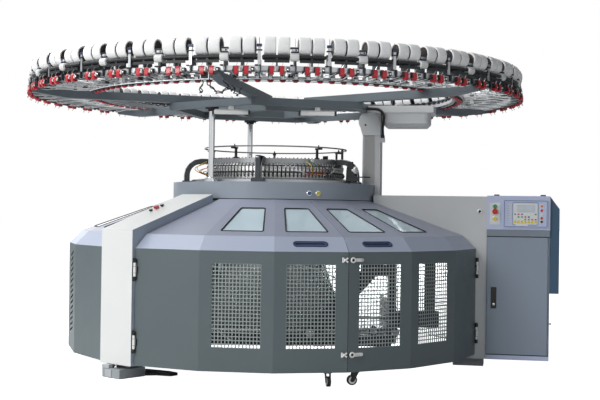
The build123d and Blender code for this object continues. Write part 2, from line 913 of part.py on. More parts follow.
def turned_ring(points):
    """Ring turned about the machine's axis from a profile of radii and heights."""
    with BuildSketch(Plane.XZ) as profile:
        with BuildLine():
            Polyline(*points, close=True)
        make_face()
    revolve(profile.sketch, axis=Axis.Z)


# Needle cylinder with its drive ring in the bed and its skirt below it
drive_ring_bottom_z = bed_bottom_z + bed_ledge_height + seat_gap
cylinder_bore_r = cylinder_r - cylinder_wall
with BuildPart() as needle_cylinder:
    turned_ring(
        [
            (cylinder_bore_r, skirt_bottom_z),
            (skirt_outer_r, skirt_bottom_z),
            (skirt_outer_r, drive_ring_bottom_z),
            (bed_bore_r - panel_gap, drive_ring_bottom_z),
            (bed_bore_r - panel_gap, drive_ring_bottom_z + drive_ring_height),
            (cylinder_r, drive_ring_bottom_z + drive_ring_height),
            (cylinder_r, cylinder_top_z),
            (cylinder_bore_r, cylinder_top_z),
        ]
    )
needle_cylinder.part.label = "needle_cylinder"
export_step(needle_cylinder.part, "parts/needle_cylinder.step")

# Cam base on the bed, with the cam boxes standing round the cylinder
with BuildPart() as cam_base:
    turned_ring(
        [
            (cam_base_inner_r, bed_top_z),
            (cam_base_outer_r, bed_top_z),
            (cam_base_outer_r, bed_top_z + cam_base_height * 0.6),
            (cam_box_outer_r + 12, cam_base_top_z),
            (cam_base_inner_r, cam_base_top_z),
        ]
    )
cam_base.part.label = "cam_base"
export_step(cam_base.part, "parts/cam_base.step")

with BuildPart() as cam_box:
    with BuildSketch(side_plane(0)):
        with BuildLine():
            Polyline(
                (cam_box_inner_r, cam_base_top_z),
                (cam_box_outer_r, cam_base_top_z),
                (cam_box_outer_r, cam_box_top_z - 12),
                (cam_box_outer_r - 12, cam_box_top_z),
                (cam_box_inner_r, cam_box_top_z),
                close=True,
            )
        make_face()
    extrude(amount=cam_box_width / 2, both=True)
with BuildPart() as cam_boxes:
    with PolarLocations(0, cam_count):
        add(cam_box.part)
cam_boxes.part.label = "cam_boxes"
export_step(cam_boxes.part, "parts/cam_boxes.step")

# Yarn carrier ring on its neck, and the thin guide ring on posts above it
with BuildPart() as yarn_carrier_ring:
    turned_ring(
        [
            (carrier_ring_inner_r + 8, cam_box_top_z),
            (carrier_ring_outer_r - 8, cam_box_top_z),
            (carrier_ring_outer_r - 8, carrier_neck_top_z),
            (carrier_ring_outer_r, carrier_neck_top_z),
            (carrier_ring_outer_r, carrier_top_z),
            (carrier_ring_inner_r, carrier_top_z),
            (carrier_ring_inner_r, carrier_neck_top_z),
            (carrier_ring_inner_r + 8, carrier_neck_top_z),
        ]
    )
yarn_carrier_ring.part.label = "yarn_carrier_ring"
export_step(yarn_carrier_ring.part, "parts/yarn_carrier_ring.step")

with BuildPart() as upper_guide_ring:
    with BuildSketch(Plane.XY.offset(guide_ring_z)):
        RegularPolygon(guide_ring_r + guide_ring_section / 2, 54)
        RegularPolygon(guide_ring_r - guide_ring_section / 2, 54, mode=Mode.SUBTRACT)
    extrude(amount=guide_ring_section)
    with BuildSketch(Plane.XY.offset(carrier_top_z)):
        with PolarLocations(guide_post_ring_r, arch_count, start_angle=guide_post_angle - 90):
            RegularPolygon(guide_post_r, 8)
    extrude(amount=guide_ring_z - carrier_top_z)
    link_length = guide_ring_r - guide_post_ring_r + guide_post_r
    with BuildSketch(Plane.XY.offset(guide_ring_z - guide_link_height)):
        with PolarLocations(guide_post_ring_r + link_length / 2, arch_count, start_angle=guide_post_angle - 90):
            Rectangle(link_length, 2 * guide_post_r)
    extrude(amount=guide_link_height)
upper_guide_ring.part.label = "upper_guide_ring"
export_step(upper_guide_ring.part, "parts/upper_guide_ring.step")

# Arched brackets from the bed to the rim of the yarn carrier ring
arch_outer_r = arch_foot_r + arch_thickness / 2
arch_inner_bend = arch_bend - arch_thickness
arch_top_z = carrier_top_z + 4
arch_turn = cos(radians(45))
with BuildPart() as arch_brackets:
    for step in range(arch_count):
        with BuildSketch(side_plane(head_angle + 360 / arch_count * step)):
            with BuildLine():
                centre_r = arch_outer_r - arch_bend
                centre_z = arch_top_z - arch_bend
                Line((arch_outer_r, bed_top_z), (arch_outer_r, centre_z))
                ThreePointArc(
                    (arch_outer_r, centre_z),
                    (centre_r + arch_bend * arch_turn, centre_z + arch_bend * arch_turn),
                    (centre_r, arch_top_z),
                )
                Polyline(
                    (centre_r, arch_top_z),
                    (carrier_ring_outer_r, arch_top_z),
                    (carrier_ring_outer_r, arch_top_z - arch_thickness),
                    (centre_r, arch_top_z - arch_thickness),
                )
                ThreePointArc(
                    (centre_r, arch_top_z - arch_thickness),
                    (centre_r + arch_inner_bend * arch_turn, centre_z + arch_inner_bend * arch_turn),
                    (arch_outer_r - arch_thickness, centre_z),
                )
                Polyline(
                    (arch_outer_r - arch_thickness, centre_z),
                    (arch_outer_r - arch_thickness, bed_top_z),
                    (arch_outer_r, bed_top_z),
                )
            make_face()
        extrude(amount=arch_width / 2, both=True)
arch_brackets.part.label = "arch_brackets"
export_step(arch_brackets.part, "parts/arch_brackets.step")

# Chrome posts with their flanges, and the pale column behind the drive housing
with BuildPart() as support_posts:
    for angle in post_angles:
        for radius, low_z, high_z in (
            (post_flange_r, bed_top_z, bed_top_z + post_flange_height),
            (post_r, bed_top_z, beam_bottom_z),
            (post_flange_r, beam_bottom_z - post_flange_height, beam_bottom_z),
        ):
            with BuildSketch(level_plane(angle, post_ring_r, low_z)):
                Circle(radius)
            extrude(amount=high_z - low_z)
support_posts.part.label = "support_posts"
export_step(support_posts.part, "parts/support_posts.step")

with BuildPart() as feeder_column:
    with BuildSketch(side_plane(column_angle)):
        with BuildLine():
            Polyline(
                (column_inner_r, bed_top_z),
                (bed_outer_r + seat_gap, bed_top_z),
                (bed_outer_r + seat_gap, housing_top_z),
                (column_outer_r, housing_top_z),
                (column_outer_r, beam_bottom_z),
                (column_inner_r, beam_bottom_z),
                close=True,
            )
        make_face()
    extrude(amount=column_half_width, both=True)
    head_r = (column_inner_r + column_outer_r) / 2 - column_head_shift
    head_z = beam_bottom_z - column_head_drop
    neck_z = beam_bottom_z - column_neck_drop
    with BuildSketch(side_plane(column_angle)):
        with Locations((head_r, head_z)):
            Circle(column_head_r)
        with BuildLine():
            Polyline(
                (head_r - column_head_r, head_z),
                (column_inner_r, neck_z),
                (column_outer_r, neck_z),
                (column_outer_r, head_z),
                close=True,
            )
        make_face()
        with Locations((head_r, beam_bottom_z + column_head_r)):
            Rectangle(3 * column_head_r, 2 * column_head_r, mode=Mode.SUBTRACT)
    extrude(amount=column_head_half_width, both=True)
    with BuildSketch(level_plane(column_angle, column_outer_r + cable_entry_length / 2, cable_end_z)):
        with Locations((0, cable_end_shift)):
            Rectangle(cable_entry_length, cable_entry_width)
    extrude(amount=-cable_entry_height)
feeder_column.part.label = "feeder_column"
export_step(feeder_column.part, "parts/feeder_column.step")

# Top frame: a hexagon of beams over the posts, and a smaller one at the hub
hexagon_turn = leg_angles[0] - arm_spread - 90
with BuildPart() as top_frame:
    with BuildSketch(Plane.XY.offset(beam_bottom_z)):
        for radius in (hexagon_r, hub_r):
            RegularPolygon(radius + beam_width / 2, 6, rotation=hexagon_turn)
            RegularPolygon(radius - beam_width / 2, 6, rotation=hexagon_turn, mode=Mode.SUBTRACT)
    extrude(amount=beam_height)
top_frame.part.label = "top_frame"
export_step(top_frame.part, "parts/top_frame.step")

with BuildPart() as radial_arms:
    for step in range(6):
        with BuildSketch(side_plane(hexagon_turn + 90 + 60 * step)):
            with BuildLine():
                Polyline(
                    (hub_r - beam_width / 2, beam_top_z),
                    (arm_outer_r - arm_taper, beam_top_z),
                    (arm_outer_r, arm_top_z - arm_height * (1 - arm_tip_share)),
                    (arm_outer_r, arm_top_z),
                    (hub_r - beam_width / 2, arm_top_z),
                    close=True,
                )
            make_face()
        extrude(amount=arm_width / 2, both=True)
radial_arms.part.label = "radial_arms"
export_step(radial_arms.part, "parts/radial_arms.step")

# Belt drive box under a plate that is fixed to the top frame
plate_inner_r = (hexagon_r + beam_width / 2) * cos(radians(30)) + seat_gap
with BuildPart() as belt_drive_box:
    box_middle_r = (belt_box_inner_r + belt_box_outer_r) / 2
    with BuildSketch(level_plane(column_angle, box_middle_r, beam_bottom_z)):
        RectangleRounded(belt_box_outer_r - belt_box_inner_r, 2 * belt_box_half_width, belt_box_corner_r)
    extrude(amount=-belt_box_height)
    chamfer(belt_drive_box.edges().group_by(Axis.Z)[0], belt_box_bevel)
    plate_outer_r = belt_box_outer_r + plate_past_box
    with BuildSketch(level_plane(column_angle, (plate_inner_r + plate_outer_r) / 2, beam_bottom_z)):
        Rectangle(plate_outer_r - plate_inner_r, 2 * plate_half_width)
    extrude(amount=beam_height)
belt_drive_box.part.label = "belt_drive_box"
export_step(belt_drive_box.part, "parts/belt_drive_box.step")

# Cable from the top frame's beam round the column's head into the entry on the column's outer side
cable_route = [
    (plate_inner_r, -150, 1826),
    (748, -150, 1826),
    (796, -150, 1818),
    (824, -148, 1778),
    (819, -138, 1738),
    (811, -112, 1706),
    (806, -76, 1682),
    (805, cable_end_shift, 1654),
    (805, cable_end_shift, cable_end_z + seat_gap),
]
cable_points = []
for radius, shift, height in cable_route:
    cable_points.append(radial(column_angle) * radius + tangent(column_angle) * shift + Vector(0, 0, height))
cable_radii = []
for before, here, after in zip(cable_points, cable_points[1:], cable_points[2:]):
    run_in = here - before
    run_out = after - here
    turn = radians(run_in.get_angle(run_out))
    cable_radii.append(cable_bend_share * min(run_in.length, run_out.length) / tan(turn / 2))
with BuildPart() as column_cable:
    with BuildLine() as cable_path:
        FilletPolyline(*cable_points, radius=cable_radii)
    with BuildSketch(Plane(origin=cable_path.line @ 0, z_dir=cable_path.line % 0)):
        Circle(cable_r)
    sweep()
column_cable.part.label = "column_cable"
export_step(column_cable.part, "parts/column_cable.step")

# Tube lamps under the top frame
with BuildPart() as lamps:
    for shift in lamp_shifts:
        with BuildSketch(face_plane(0, lamp_distance, beam_bottom_z - lamp_drop - lamp_height / 2, shift)):
            RectangleRounded(lamp_length, lamp_height, lamp_height * 0.3)
        extrude(amount=lamp_width / 2, both=True)
        with BuildSketch(level_plane(0, lamp_distance, beam_bottom_z, shift)):
            Rectangle(lamp_width * 0.6, lamp_width)
        extrude(amount=-lamp_drop - lamp_height / 2)
lamps.part.label = "lamps"
export_step(lamps.part, "parts/lamps.step")

# Creel: outer ring with a flat for each pair of bobbins and its yarn stop unit
creel_outer_r = creel_ring_r + creel_ring_width / 2
with BuildPart() as creel_ring:
    with BuildSketch(Plane.XY.offset(arm_top_z)):
        RegularPolygon(creel_outer_r, bobbin_count, major_radius=False)
        RegularPolygon(creel_outer_r - creel_ring_width, bobbin_count, major_radius=False, mode=Mode.SUBTRACT)
    extrude(amount=creel_ring_height)
creel_ring.part.label = "creel_ring"
export_step(creel_ring.part, "parts/creel_ring.step")

with BuildPart() as cradle:
    with BuildSketch(side_plane(0)):
        with Locations((creel_ring_r - 4, creel_top_z + cradle_height / 2)):
            Rectangle(2 * roller_spread + roller_side, cradle_height)
    extrude(amount=cradle_width / 2, both=True)
    with BuildSketch(side_plane(0)):
        for shift in (-roller_spread, roller_spread):
            with Locations((creel_ring_r - 4 + shift, roller_bottom_z + roller_side / 2)):
                Rectangle(roller_side, roller_side)
    extrude(amount=roller_length / 2, both=True)
with BuildPart() as bobbin_rollers:
    with PolarLocations(0, bobbin_count):
        add(cradle.part)
bobbin_rollers.part.label = "bobbin_rollers"
export_step(bobbin_rollers.part, "parts/bobbin_rollers.step")

# A bobbin's flats rest between its two rollers, so its centre follows from their inner corners
bobbin_centre_z = roller_top_z + bobbin_r * 2 ** 0.5 - (roller_spread - roller_side / 2) + seat_gap
with BuildPart() as bobbin_pair:
    for side in (-1, 1):
        with BuildSketch(side_plane(0, side * bobbin_spacing / 2)):
            with Locations((creel_ring_r - 4, bobbin_centre_z)):
                RegularPolygon(bobbin_r, 8, major_radius=False, rotation=22.5)
        extrude(amount=bobbin_width / 2, both=True)
with BuildPart() as bobbins:
    with PolarLocations(0, bobbin_count):
        add(bobbin_pair.part)
bobbins.part.label = "bobbins"
export_step(bobbins.part, "parts/bobbins.step")

with BuildPart() as stop_unit:
    with BuildSketch(level_plane(0, creel_outer_r + stop_depth / 2, creel_top_z - 2)):
        Rectangle(stop_depth, stop_length)
    extrude(amount=-stop_height)
with BuildPart() as yarn_stops:
    with PolarLocations(0, bobbin_count):
        add(stop_unit.part)
yarn_stops.part.label = "yarn_stops"
export_step(yarn_stops.part, "parts/yarn_stops.step")

# Inner ring with the positive yarn feeders, two on each flat
feeder_outer_r = feeder_ring_r + feeder_ring_width / 2
with BuildPart() as feeder_ring:
    with BuildSketch(Plane.XY.offset(arm_top_z)):
        RegularPolygon(feeder_outer_r, bobbin_count, major_radius=False)
        RegularPolygon(feeder_outer_r - feeder_ring_width, bobbin_count, major_radius=False, mode=Mode.SUBTRACT)
    extrude(amount=feeder_ring_height)
feeder_ring.part.label = "feeder_ring"
export_step(feeder_ring.part, "parts/feeder_ring.step")

with BuildPart() as feeder_pair:
    with BuildSketch(level_plane(0, feeder_outer_r + feeder_depth / 2, arm_top_z + 1)):
        with GridLocations(1, feeder_spacing, 1, 2):
            Rectangle(feeder_depth, feeder_width)
    extrude(amount=feeder_height)
with BuildPart() as yarn_feeders:
    with PolarLocations(0, bobbin_count):
        add(feeder_pair.part)
yarn_feeders.part.label = "yarn_feeders"
export_step(yarn_feeders.part, "parts/yarn_feeders.step")


def takedown_block(x_range, y_range, z_range, mode=Mode.ADD):
    """Upright block of the take-down frame between three pairs of limits."""
    with BuildSketch(Plane.XY.offset(z_range[0])) as base:
        with Locations(((x_range[0] + x_range[1]) / 2, (y_range[0] + y_range[1]) / 2)):
            Rectangle(x_range[1] - x_range[0], y_range[1] - y_range[0])
    extrude(base.sketch, amount=z_range[1] - z_range[0], mode=mode)


# Take-down frame: it hangs from the skirt and carries the rollers between its end plates
plate_outer_x = upright_x
plate_inner_x = upright_x - end_plate
arm_top = frame_arm_z + frame_arm_height
nip_offset = nip_roller_r + nip_gap / 2
roller_shafts = [(-nip_offset, nip_z), (nip_offset, nip_z), (cloth_roll_y, cloth_roll_z)]
with BuildPart() as takedown_frame:
    for side in (-1, 1):
        blocks = [
            ((hanger_x, frame_arm_outer_x), upright_depth / 2, (frame_arm_z, arm_top)),
            ((hanger_x, hanger_x + hanger_width), upright_depth / 2, (arm_top, skirt_bottom_z)),
            ((upright_x, upright_x + upright_width), upright_depth / 2, (frame_bottom_z, frame_arm_z)),
            (
                (outer_upright_x, outer_upright_x + outer_upright_width),
                outer_upright_depth / 2,
                (outrigger_bottom_z, frame_arm_z),
            ),
            (
                (upright_x, outrigger_outer_x),
                outer_upright_depth / 2,
                (outrigger_bottom_z, outrigger_bottom_z + outrigger_height),
            ),
        ]
        for (near_x, far_x), half_depth, heights in blocks:
            limits = sorted((side * near_x, side * far_x))
            takedown_block(limits, (-half_depth, half_depth), heights)
        plate_limits = sorted((side * plate_inner_x, side * plate_outer_x))
        plate_heights = (frame_bottom_z, frame_bottom_z + end_plate_height)
        takedown_block(plate_limits, (-end_plate_front, end_plate_rear), plate_heights)
        bracket_limits = sorted((side * (brace_high[0] - brace_width), side * upright_x))
        bracket_heights = (brace_high[1] - brace_arm_height, brace_high[1])
        takedown_block(bracket_limits, (-end_plate_front, -end_plate_front + 60), bracket_heights)
        side_limits = sorted((side * plate_inner_x, side * upright_x))
        takedown_block(side_limits, (-end_plate_front, upright_depth / 2), bracket_heights)
    for beam_y, beam_height_here in ((front_beam_y, beam_size), (rear_beam_y, rear_beam_height)):
        beam_limits = (beam_y - beam_size / 2, beam_y + beam_size / 2)
        beam_heights = (frame_bottom_z, frame_bottom_z + beam_height_here)
        takedown_block((-plate_inner_x, plate_inner_x), beam_limits, beam_heights)
    with BuildSketch(Plane.YZ.offset(-plate_outer_x)):
        for shaft_y, shaft_z in roller_shafts:
            with Locations((shaft_y, shaft_z)):
                Circle(roller_shaft_r + running_gap)
    extrude(amount=2 * plate_outer_x, mode=Mode.SUBTRACT)
    brace_run = Vector(brace_high[0] - brace_low[0], brace_high[1] - brace_low[1])
    brace_turn = degrees(atan2(brace_run.Y, brace_run.X))
    with BuildSketch(Plane.XZ.offset(end_plate_front)):
        with Locations(((brace_low[0] + brace_high[0]) / 2, (brace_low[1] + brace_high[1]) / 2)):
            SlotOverall(brace_run.length + brace_width, brace_width, rotation=brace_turn)
    extrude(amount=-brace_thickness)
takedown_frame.part.label = "takedown_frame"
export_step(takedown_frame.part, "parts/takedown_frame.step")

# Take-down rollers with the fabric's nip between them, and the cloth roll
roller_end_x = plate_inner_x - nip_roller_end_gap
for roller_name, (shaft_y, shaft_z) in zip(("front_nip_roller", "rear_nip_roller"), roller_shafts):
    with BuildPart() as nip_roller:
        for radius, half_length in ((nip_roller_r, roller_end_x), (roller_shaft_r, plate_outer_x - 2)):
            with BuildSketch(Plane.YZ):
                with Locations((shaft_y, shaft_z)):
                    Circle(radius)
            extrude(amount=half_length, both=True)
    nip_roller.part.label = roller_name
    export_step(nip_roller.part, f"parts/{roller_name}.step")

with BuildPart() as cloth_roll:
    for radius, half_length in ((cloth_roll_r, cloth_roll_length / 2), (roller_shaft_r, plate_outer_x - 2)):
        with BuildSketch(Plane.YZ):
            with Locations(roller_shafts[2]):
                Circle(radius)
        extrude(amount=half_length, both=True)
cloth_roll.part.label = "cloth_roll"
export_step(cloth_roll.part, "parts/cloth_roll.step")

# Fabric: an open tube inside the cylinder that flattens towards the nip
fabric_top_r = cylinder_bore_r - 6
with BuildPart() as fabric:
    for shrink, low_z in ((0, fabric_tube_z), (fabric_thickness, fabric_tube_z + fabric_thickness)):
        with BuildSketch(Plane.XY.offset(fabric_top_z)):
            Circle(fabric_top_r - shrink)
        with BuildSketch(Plane.XY.offset(low_z)):
            Circle(fabric_tube_r - shrink)
        tube_mode = Mode.ADD if shrink == 0 else Mode.SUBTRACT
        loft(mode=tube_mode)
    with BuildSketch(Plane.XY.offset(fabric_tube_z)):
        Ellipse(fabric_tube_r - fabric_thickness / 2, fabric_tube_r - fabric_thickness)
    with BuildSketch(Plane.XY.offset(fabric_flat_z)):
        Ellipse(fabric_flat_width / 2, fabric_thickness)
    loft()
    with BuildSketch(Plane.XY.offset(fabric_end_z)):
        Rectangle(fabric_flat_width - 4 * fabric_thickness, fabric_flat_thickness)
    extrude(amount=fabric_flat_z - fabric_end_z)
fabric.part.label = "fabric"
export_step(fabric.part, "parts/fabric.step")


def cabinet_block(r_range, z_range, t_range, mode=Mode.ADD):
    """Block in the cabinet's own directions: outwards, up and along the rim."""
    with BuildSketch(side_plane(cabinet_angle, t_range[1])) as block:
        with Locations(((r_range[0] + r_range[1]) / 2, (z_range[0] + z_range[1]) / 2)):
            Rectangle(r_range[1] - r_range[0], z_range[1] - z_range[0])
    extrude(block.sketch, amount=t_range[1] - t_range[0], mode=mode)


def front_plane(radius, height, proud=0):
    """Upright plane on the cabinet's front: x runs outwards, y runs up, z runs to the front."""
    front = side_plane(cabinet_angle, cabinet_front - proud)
    return front.shift_origin(front.from_local_coords((radius, height, 0)))


def hinge_level(height):
    """Level plane on the axis of the cabinet door's hinges."""
    return level_plane(cabinet_angle, door_hinge_r, height, door_hinge_t)


def hinge_leaf(height, length, reach_r, reach_t):
    """Leaf between a knuckle and what carries it, reaching outwards or along the rim."""
    middle_r = door_hinge_r + reach_r / 2
    middle_t = door_hinge_t + reach_t / 2
    with BuildSketch(level_plane(cabinet_angle, middle_r, height, middle_t)) as leaf:
        Rectangle(max(abs(reach_r), cabinet_hinge_r), max(abs(reach_t), cabinet_hinge_r))
    extrude(leaf.sketch, amount=length)


# Cabinet body: a box that is open at the front behind the door
cabinet_r = (cabinet_inner_r, cabinet_outer_r)
hollow_r = (cabinet_inner_r + 4 * cabinet_wall, cabinet_outer_r - 4 * cabinet_wall)
door_hinge_r = cabinet_outer_r - cabinet_hinge_r - 2
door_hinge_t = cabinet_front - cabinet_hinge_r - 2
cabinet_hinge_heights = (cabinet_door_bottom_z + 90, cabinet_door_top_z - 90)
with BuildPart() as cabinet_body:
    cabinet_block(cabinet_r, (cabinet_bottom_z, cabinet_top_z), (cabinet_front, cabinet_back))
    inside_z = (cabinet_door_bottom_z + 3 * cabinet_wall, cabinet_door_top_z - 3 * cabinet_wall)
    cabinet_block(hollow_r, inside_z, (cabinet_front, cabinet_back - cabinet_wall), Mode.SUBTRACT)
    for knuckle_z in cabinet_hinge_heights:
        with BuildSketch(hinge_level(knuckle_z)):
            Circle(cabinet_hinge_r)
        extrude(amount=-cabinet_knuckle_length)
        with BuildSketch(hinge_level(knuckle_z)):
            Circle(cabinet_hinge_pin_r)
        extrude(amount=cabinet_knuckle_length)
        hinge_leaf(knuckle_z - cabinet_knuckle_length, cabinet_knuckle_length, 0, cabinet_front - door_hinge_t)
cabinet_body.part.label = "cabinet_body"
export_step(cabinet_body.part, "parts/cabinet_body.step")

# Cabinet door with its knuckles and the pocket of its handle
door_front_proud = seat_gap + cabinet_door_thickness
door_r = (cabinet_inner_r + 6, door_hinge_r - cabinet_hinge_r - 1)
door_z = (cabinet_door_bottom_z, cabinet_door_top_z)
handle_r = cabinet_inner_r + cabinet_handle_from_edge
pocket_depth = cabinet_handle_thickness + 1
handle_pin_z = cabinet_handle_z + cabinet_handle_length / 2 - cabinet_handle_pin_drop
handle_middle_t = cabinet_front - door_front_proud + cabinet_handle_thickness / 2
pin_half_length = cabinet_handle_width / 2 + 5


def handle_pin_plane(reach):
    """Plane across the handle's pin, a reach outwards from the middle of the handle."""
    return face_plane(cabinet_angle, handle_r + reach, handle_pin_z, handle_middle_t)


with BuildPart() as cabinet_door:
    door_t = (cabinet_front - door_front_proud, cabinet_front - seat_gap)
    cabinet_block(door_r, door_z, door_t)
    for knuckle_z in cabinet_hinge_heights:
        base_z = knuckle_z + seat_gap
        hinge_leaf(base_z, cabinet_knuckle_length, -cabinet_hinge_r - 2, 0)
        with BuildSketch(hinge_level(base_z)):
            Circle(cabinet_hinge_r)
        extrude(amount=cabinet_knuckle_length)
        with BuildSketch(hinge_level(base_z)):
            Circle(cabinet_hinge_pin_r + running_gap)
        extrude(amount=cabinet_knuckle_length, mode=Mode.SUBTRACT)
    with BuildSketch(front_plane(handle_r, cabinet_handle_z, door_front_proud)):
        Rectangle(cabinet_handle_width + 4, cabinet_handle_length + 4)
    extrude(amount=-pocket_depth, mode=Mode.SUBTRACT)
    with BuildSketch(handle_pin_plane(pin_half_length)):
        Circle(cabinet_handle_pin_r + running_gap)
    extrude(amount=-2 * pin_half_length, mode=Mode.SUBTRACT)
cabinet_door.part.label = "cabinet_door"
export_step(cabinet_door.part, "parts/cabinet_door.step")

# Handle that swings out of its pocket on a pin near its top
with BuildPart() as cabinet_handle:
    with BuildSketch(front_plane(handle_r, cabinet_handle_z - cabinet_handle_pin_drop / 2, door_front_proud)):
        Rectangle(cabinet_handle_width, cabinet_handle_length - cabinet_handle_pin_drop)
    extrude(amount=-cabinet_handle_thickness)
    with BuildSketch(handle_pin_plane(0)):
        Circle(cabinet_handle_thickness / 2)
    extrude(amount=cabinet_handle_width / 2, both=True)
    with BuildSketch(handle_pin_plane(0)):
        Circle(cabinet_handle_pin_r)
    extrude(amount=pin_half_length - 1, both=True)
    with BuildSketch(front_plane(handle_r, cabinet_handle_z - 12, door_front_proud)):
        SlotOverall(cabinet_handle_length * 0.55, cabinet_handle_width * 0.5, rotation=90)
    extrude(amount=-cabinet_handle_thickness * 0.6, mode=Mode.SUBTRACT)
cabinet_handle.part.label = "cabinet_handle"
export_step(cabinet_handle.part, "parts/cabinet_handle.step")


# Operator panel with the white switch plate and the keypad on it
panel_front = cabinet_front - panel_thickness
plate_front = panel_thickness + plate_thickness
plate_seats = {
    "start_button": (front_plane(plate_centre_r, start_button_z, plate_front), push_head),
    "stop_button": (front_plane(plate_centre_r, stop_button_z, plate_front), stop_head),
    "jog_button": (front_plane(plate_centre_r, jog_button_z, plate_front), push_head),
}
with BuildPart() as operator_panel:
    cabinet_block(cabinet_r, (panel_bottom_z, cabinet_top_z), (panel_front, cabinet_front))
    for seat, head in plate_seats.values():
        button_bore(seat)
operator_panel.part.label = "operator_panel"
export_step(operator_panel.part, "parts/operator_panel.step")

with BuildPart() as switch_plate:
    plate_r = (plate_centre_r - plate_width / 2, plate_centre_r + plate_width / 2)
    cabinet_block(plate_r, (plate_bottom_z, plate_top_z), (panel_front - plate_thickness, panel_front))
    for seat, head in plate_seats.values():
        button_bore(seat)
switch_plate.part.label = "switch_plate"
export_step(switch_plate.part, "parts/switch_plate.step")

with BuildPart() as keypad:
    keypad_r = (keypad_left_r, keypad_right_r)
    keypad_z = (keypad_bottom_z, keypad_top_z)
    cabinet_block(keypad_r, keypad_z, (panel_front - keypad_thickness, panel_front))
    keypad_middle = front_plane(sum(keypad_r) / 2, sum(keypad_z) / 2, panel_thickness + keypad_thickness)
    with BuildSketch(keypad_middle):
        recess_length = keypad_right_r - keypad_left_r - keypad_frame
        RectangleRounded(recess_length, keypad_top_z - keypad_bottom_z - keypad_frame, keypad_corner_r)
    extrude(amount=-keypad_recess, mode=Mode.SUBTRACT)
keypad.part.label = "keypad"
export_step(keypad.part, "parts/keypad.step")

# Blue box on the cabinet's outer side, with a bevelled upper corner
side_box_inner_r = cabinet_outer_r
side_box_top_z = cabinet_top_z - side_box_drop
with BuildPart() as side_box:
    with BuildSketch(side_plane(cabinet_angle, cabinet_back)):
        with BuildLine():
            Polyline(
                (side_box_inner_r, side_box_bottom_z),
                (side_box_inner_r + side_box_width, side_box_bottom_z),
                (side_box_inner_r + side_box_width, side_box_top_z - side_box_bevel_drop),
                (side_box_inner_r + side_box_width - side_box_chamfer, side_box_top_z),
                (side_box_inner_r, side_box_top_z),
                close=True,
            )
        make_face()
    extrude(amount=cabinet_depth)
side_box.part.label = "side_box"
export_step(side_box.part, "parts/side_box.step")

# Push buttons on the switch plate, the left leg's cover and the bed's rim
button_seats = dict(plate_seats)
button_seats["leg_stop_button"] = (slope_plane(leg_button_r, leg_button_shift), stop_head)
button_seats["leg_start_button"] = (slope_plane(leg_button_r + leg_button_pitch, leg_button_shift), push_head)
button_seats["leg_jog_button"] = (slope_plane(leg_button_r - leg_button_pitch, leg_button_shift), push_head)
for button_name, angle in bed_button_angles.items():
    button_seats[button_name] = (face_plane(angle, bed_outer_r, bed_bottom_z + bed_button_height), push_head)
for button_name, (seat, head) in button_seats.items():
    with BuildPart() as button:
        push_button(seat, head)
    button.part.label = button_name
    export_step(button.part, f"parts/{button_name}.step")
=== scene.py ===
from math import cos, hypot, pi, radians, sin, tan

import bpy
from mathutils import Matrix, Vector


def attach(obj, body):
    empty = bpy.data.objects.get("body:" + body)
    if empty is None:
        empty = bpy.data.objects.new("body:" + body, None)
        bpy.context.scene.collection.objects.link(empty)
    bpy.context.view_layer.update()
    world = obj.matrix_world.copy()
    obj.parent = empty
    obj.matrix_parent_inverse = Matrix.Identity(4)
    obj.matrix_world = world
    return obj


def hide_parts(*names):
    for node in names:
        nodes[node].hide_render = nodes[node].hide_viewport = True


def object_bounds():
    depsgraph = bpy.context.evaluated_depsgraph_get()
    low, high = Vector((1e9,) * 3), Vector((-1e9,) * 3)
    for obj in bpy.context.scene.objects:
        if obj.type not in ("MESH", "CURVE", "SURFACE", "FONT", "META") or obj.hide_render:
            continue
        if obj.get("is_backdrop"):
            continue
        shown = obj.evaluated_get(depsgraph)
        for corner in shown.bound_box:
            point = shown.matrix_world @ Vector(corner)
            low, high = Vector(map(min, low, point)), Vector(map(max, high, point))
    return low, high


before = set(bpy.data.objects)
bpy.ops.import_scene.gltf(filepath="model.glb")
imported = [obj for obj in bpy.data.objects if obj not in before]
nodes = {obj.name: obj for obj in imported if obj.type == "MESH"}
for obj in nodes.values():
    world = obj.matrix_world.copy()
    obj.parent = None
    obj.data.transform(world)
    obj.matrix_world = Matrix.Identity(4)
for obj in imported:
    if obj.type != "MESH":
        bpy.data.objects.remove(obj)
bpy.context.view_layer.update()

# Shapes are in millimetres, as in the part's source, and turned into metres when a mesh is made.
# The camera and the lamps are in metres. Angles on the machine are in degrees from its front.
MM = 0.001
LEG_ANGLES = LEFT_LEG, CABINET_ANGLE, REAR_LEG = -42, 78, 198


def at(angle=0, radius=0, shift=0, height=0):
    """Frame with x outwards at an angle from the front, y along the rim and z up."""
    a = radians(angle)
    out = Vector((sin(a), -cos(a), 0))
    along = Vector((cos(a), sin(a), 0))
    place = out * radius + along * shift
    return Matrix(((out.x, along.x, 0, place.x), (out.y, along.y, 0, place.y), (0, 0, 1, height), (0, 0, 0, 1)))


def add_object(name, data):
    """New object in the scene."""
    made = bpy.data.objects.new(name, data)
    bpy.context.scene.collection.objects.link(made)
    return made


# Camera
YAW, TILT, ROLL = 0.0223, 0.0089, 0.0137
forward = Vector((sin(YAW) * cos(TILT), cos(YAW) * cos(TILT), sin(TILT)))
level_right = Vector((cos(YAW), -sin(YAW), 0))
level_up = level_right.cross(forward)
right = level_right * cos(ROLL) + level_up * sin(ROLL)
up = level_up * cos(ROLL) - level_right * sin(ROLL)
camera_data = bpy.data.cameras.new("camera")
camera_data.lens = 67.3
camera_data.sensor_width = 36
camera = add_object("camera", camera_data)
camera.matrix_world = Matrix((
    (right.x, up.x, -forward.x, 0),
    (right.y, up.y, -forward.y, -8.349),
    (right.z, up.z, -forward.z, 1.0907),
    (0, 0, 0, 1),
))
bpy.context.scene.camera = camera
bpy.context.scene.view_settings.view_transform = "Standard"

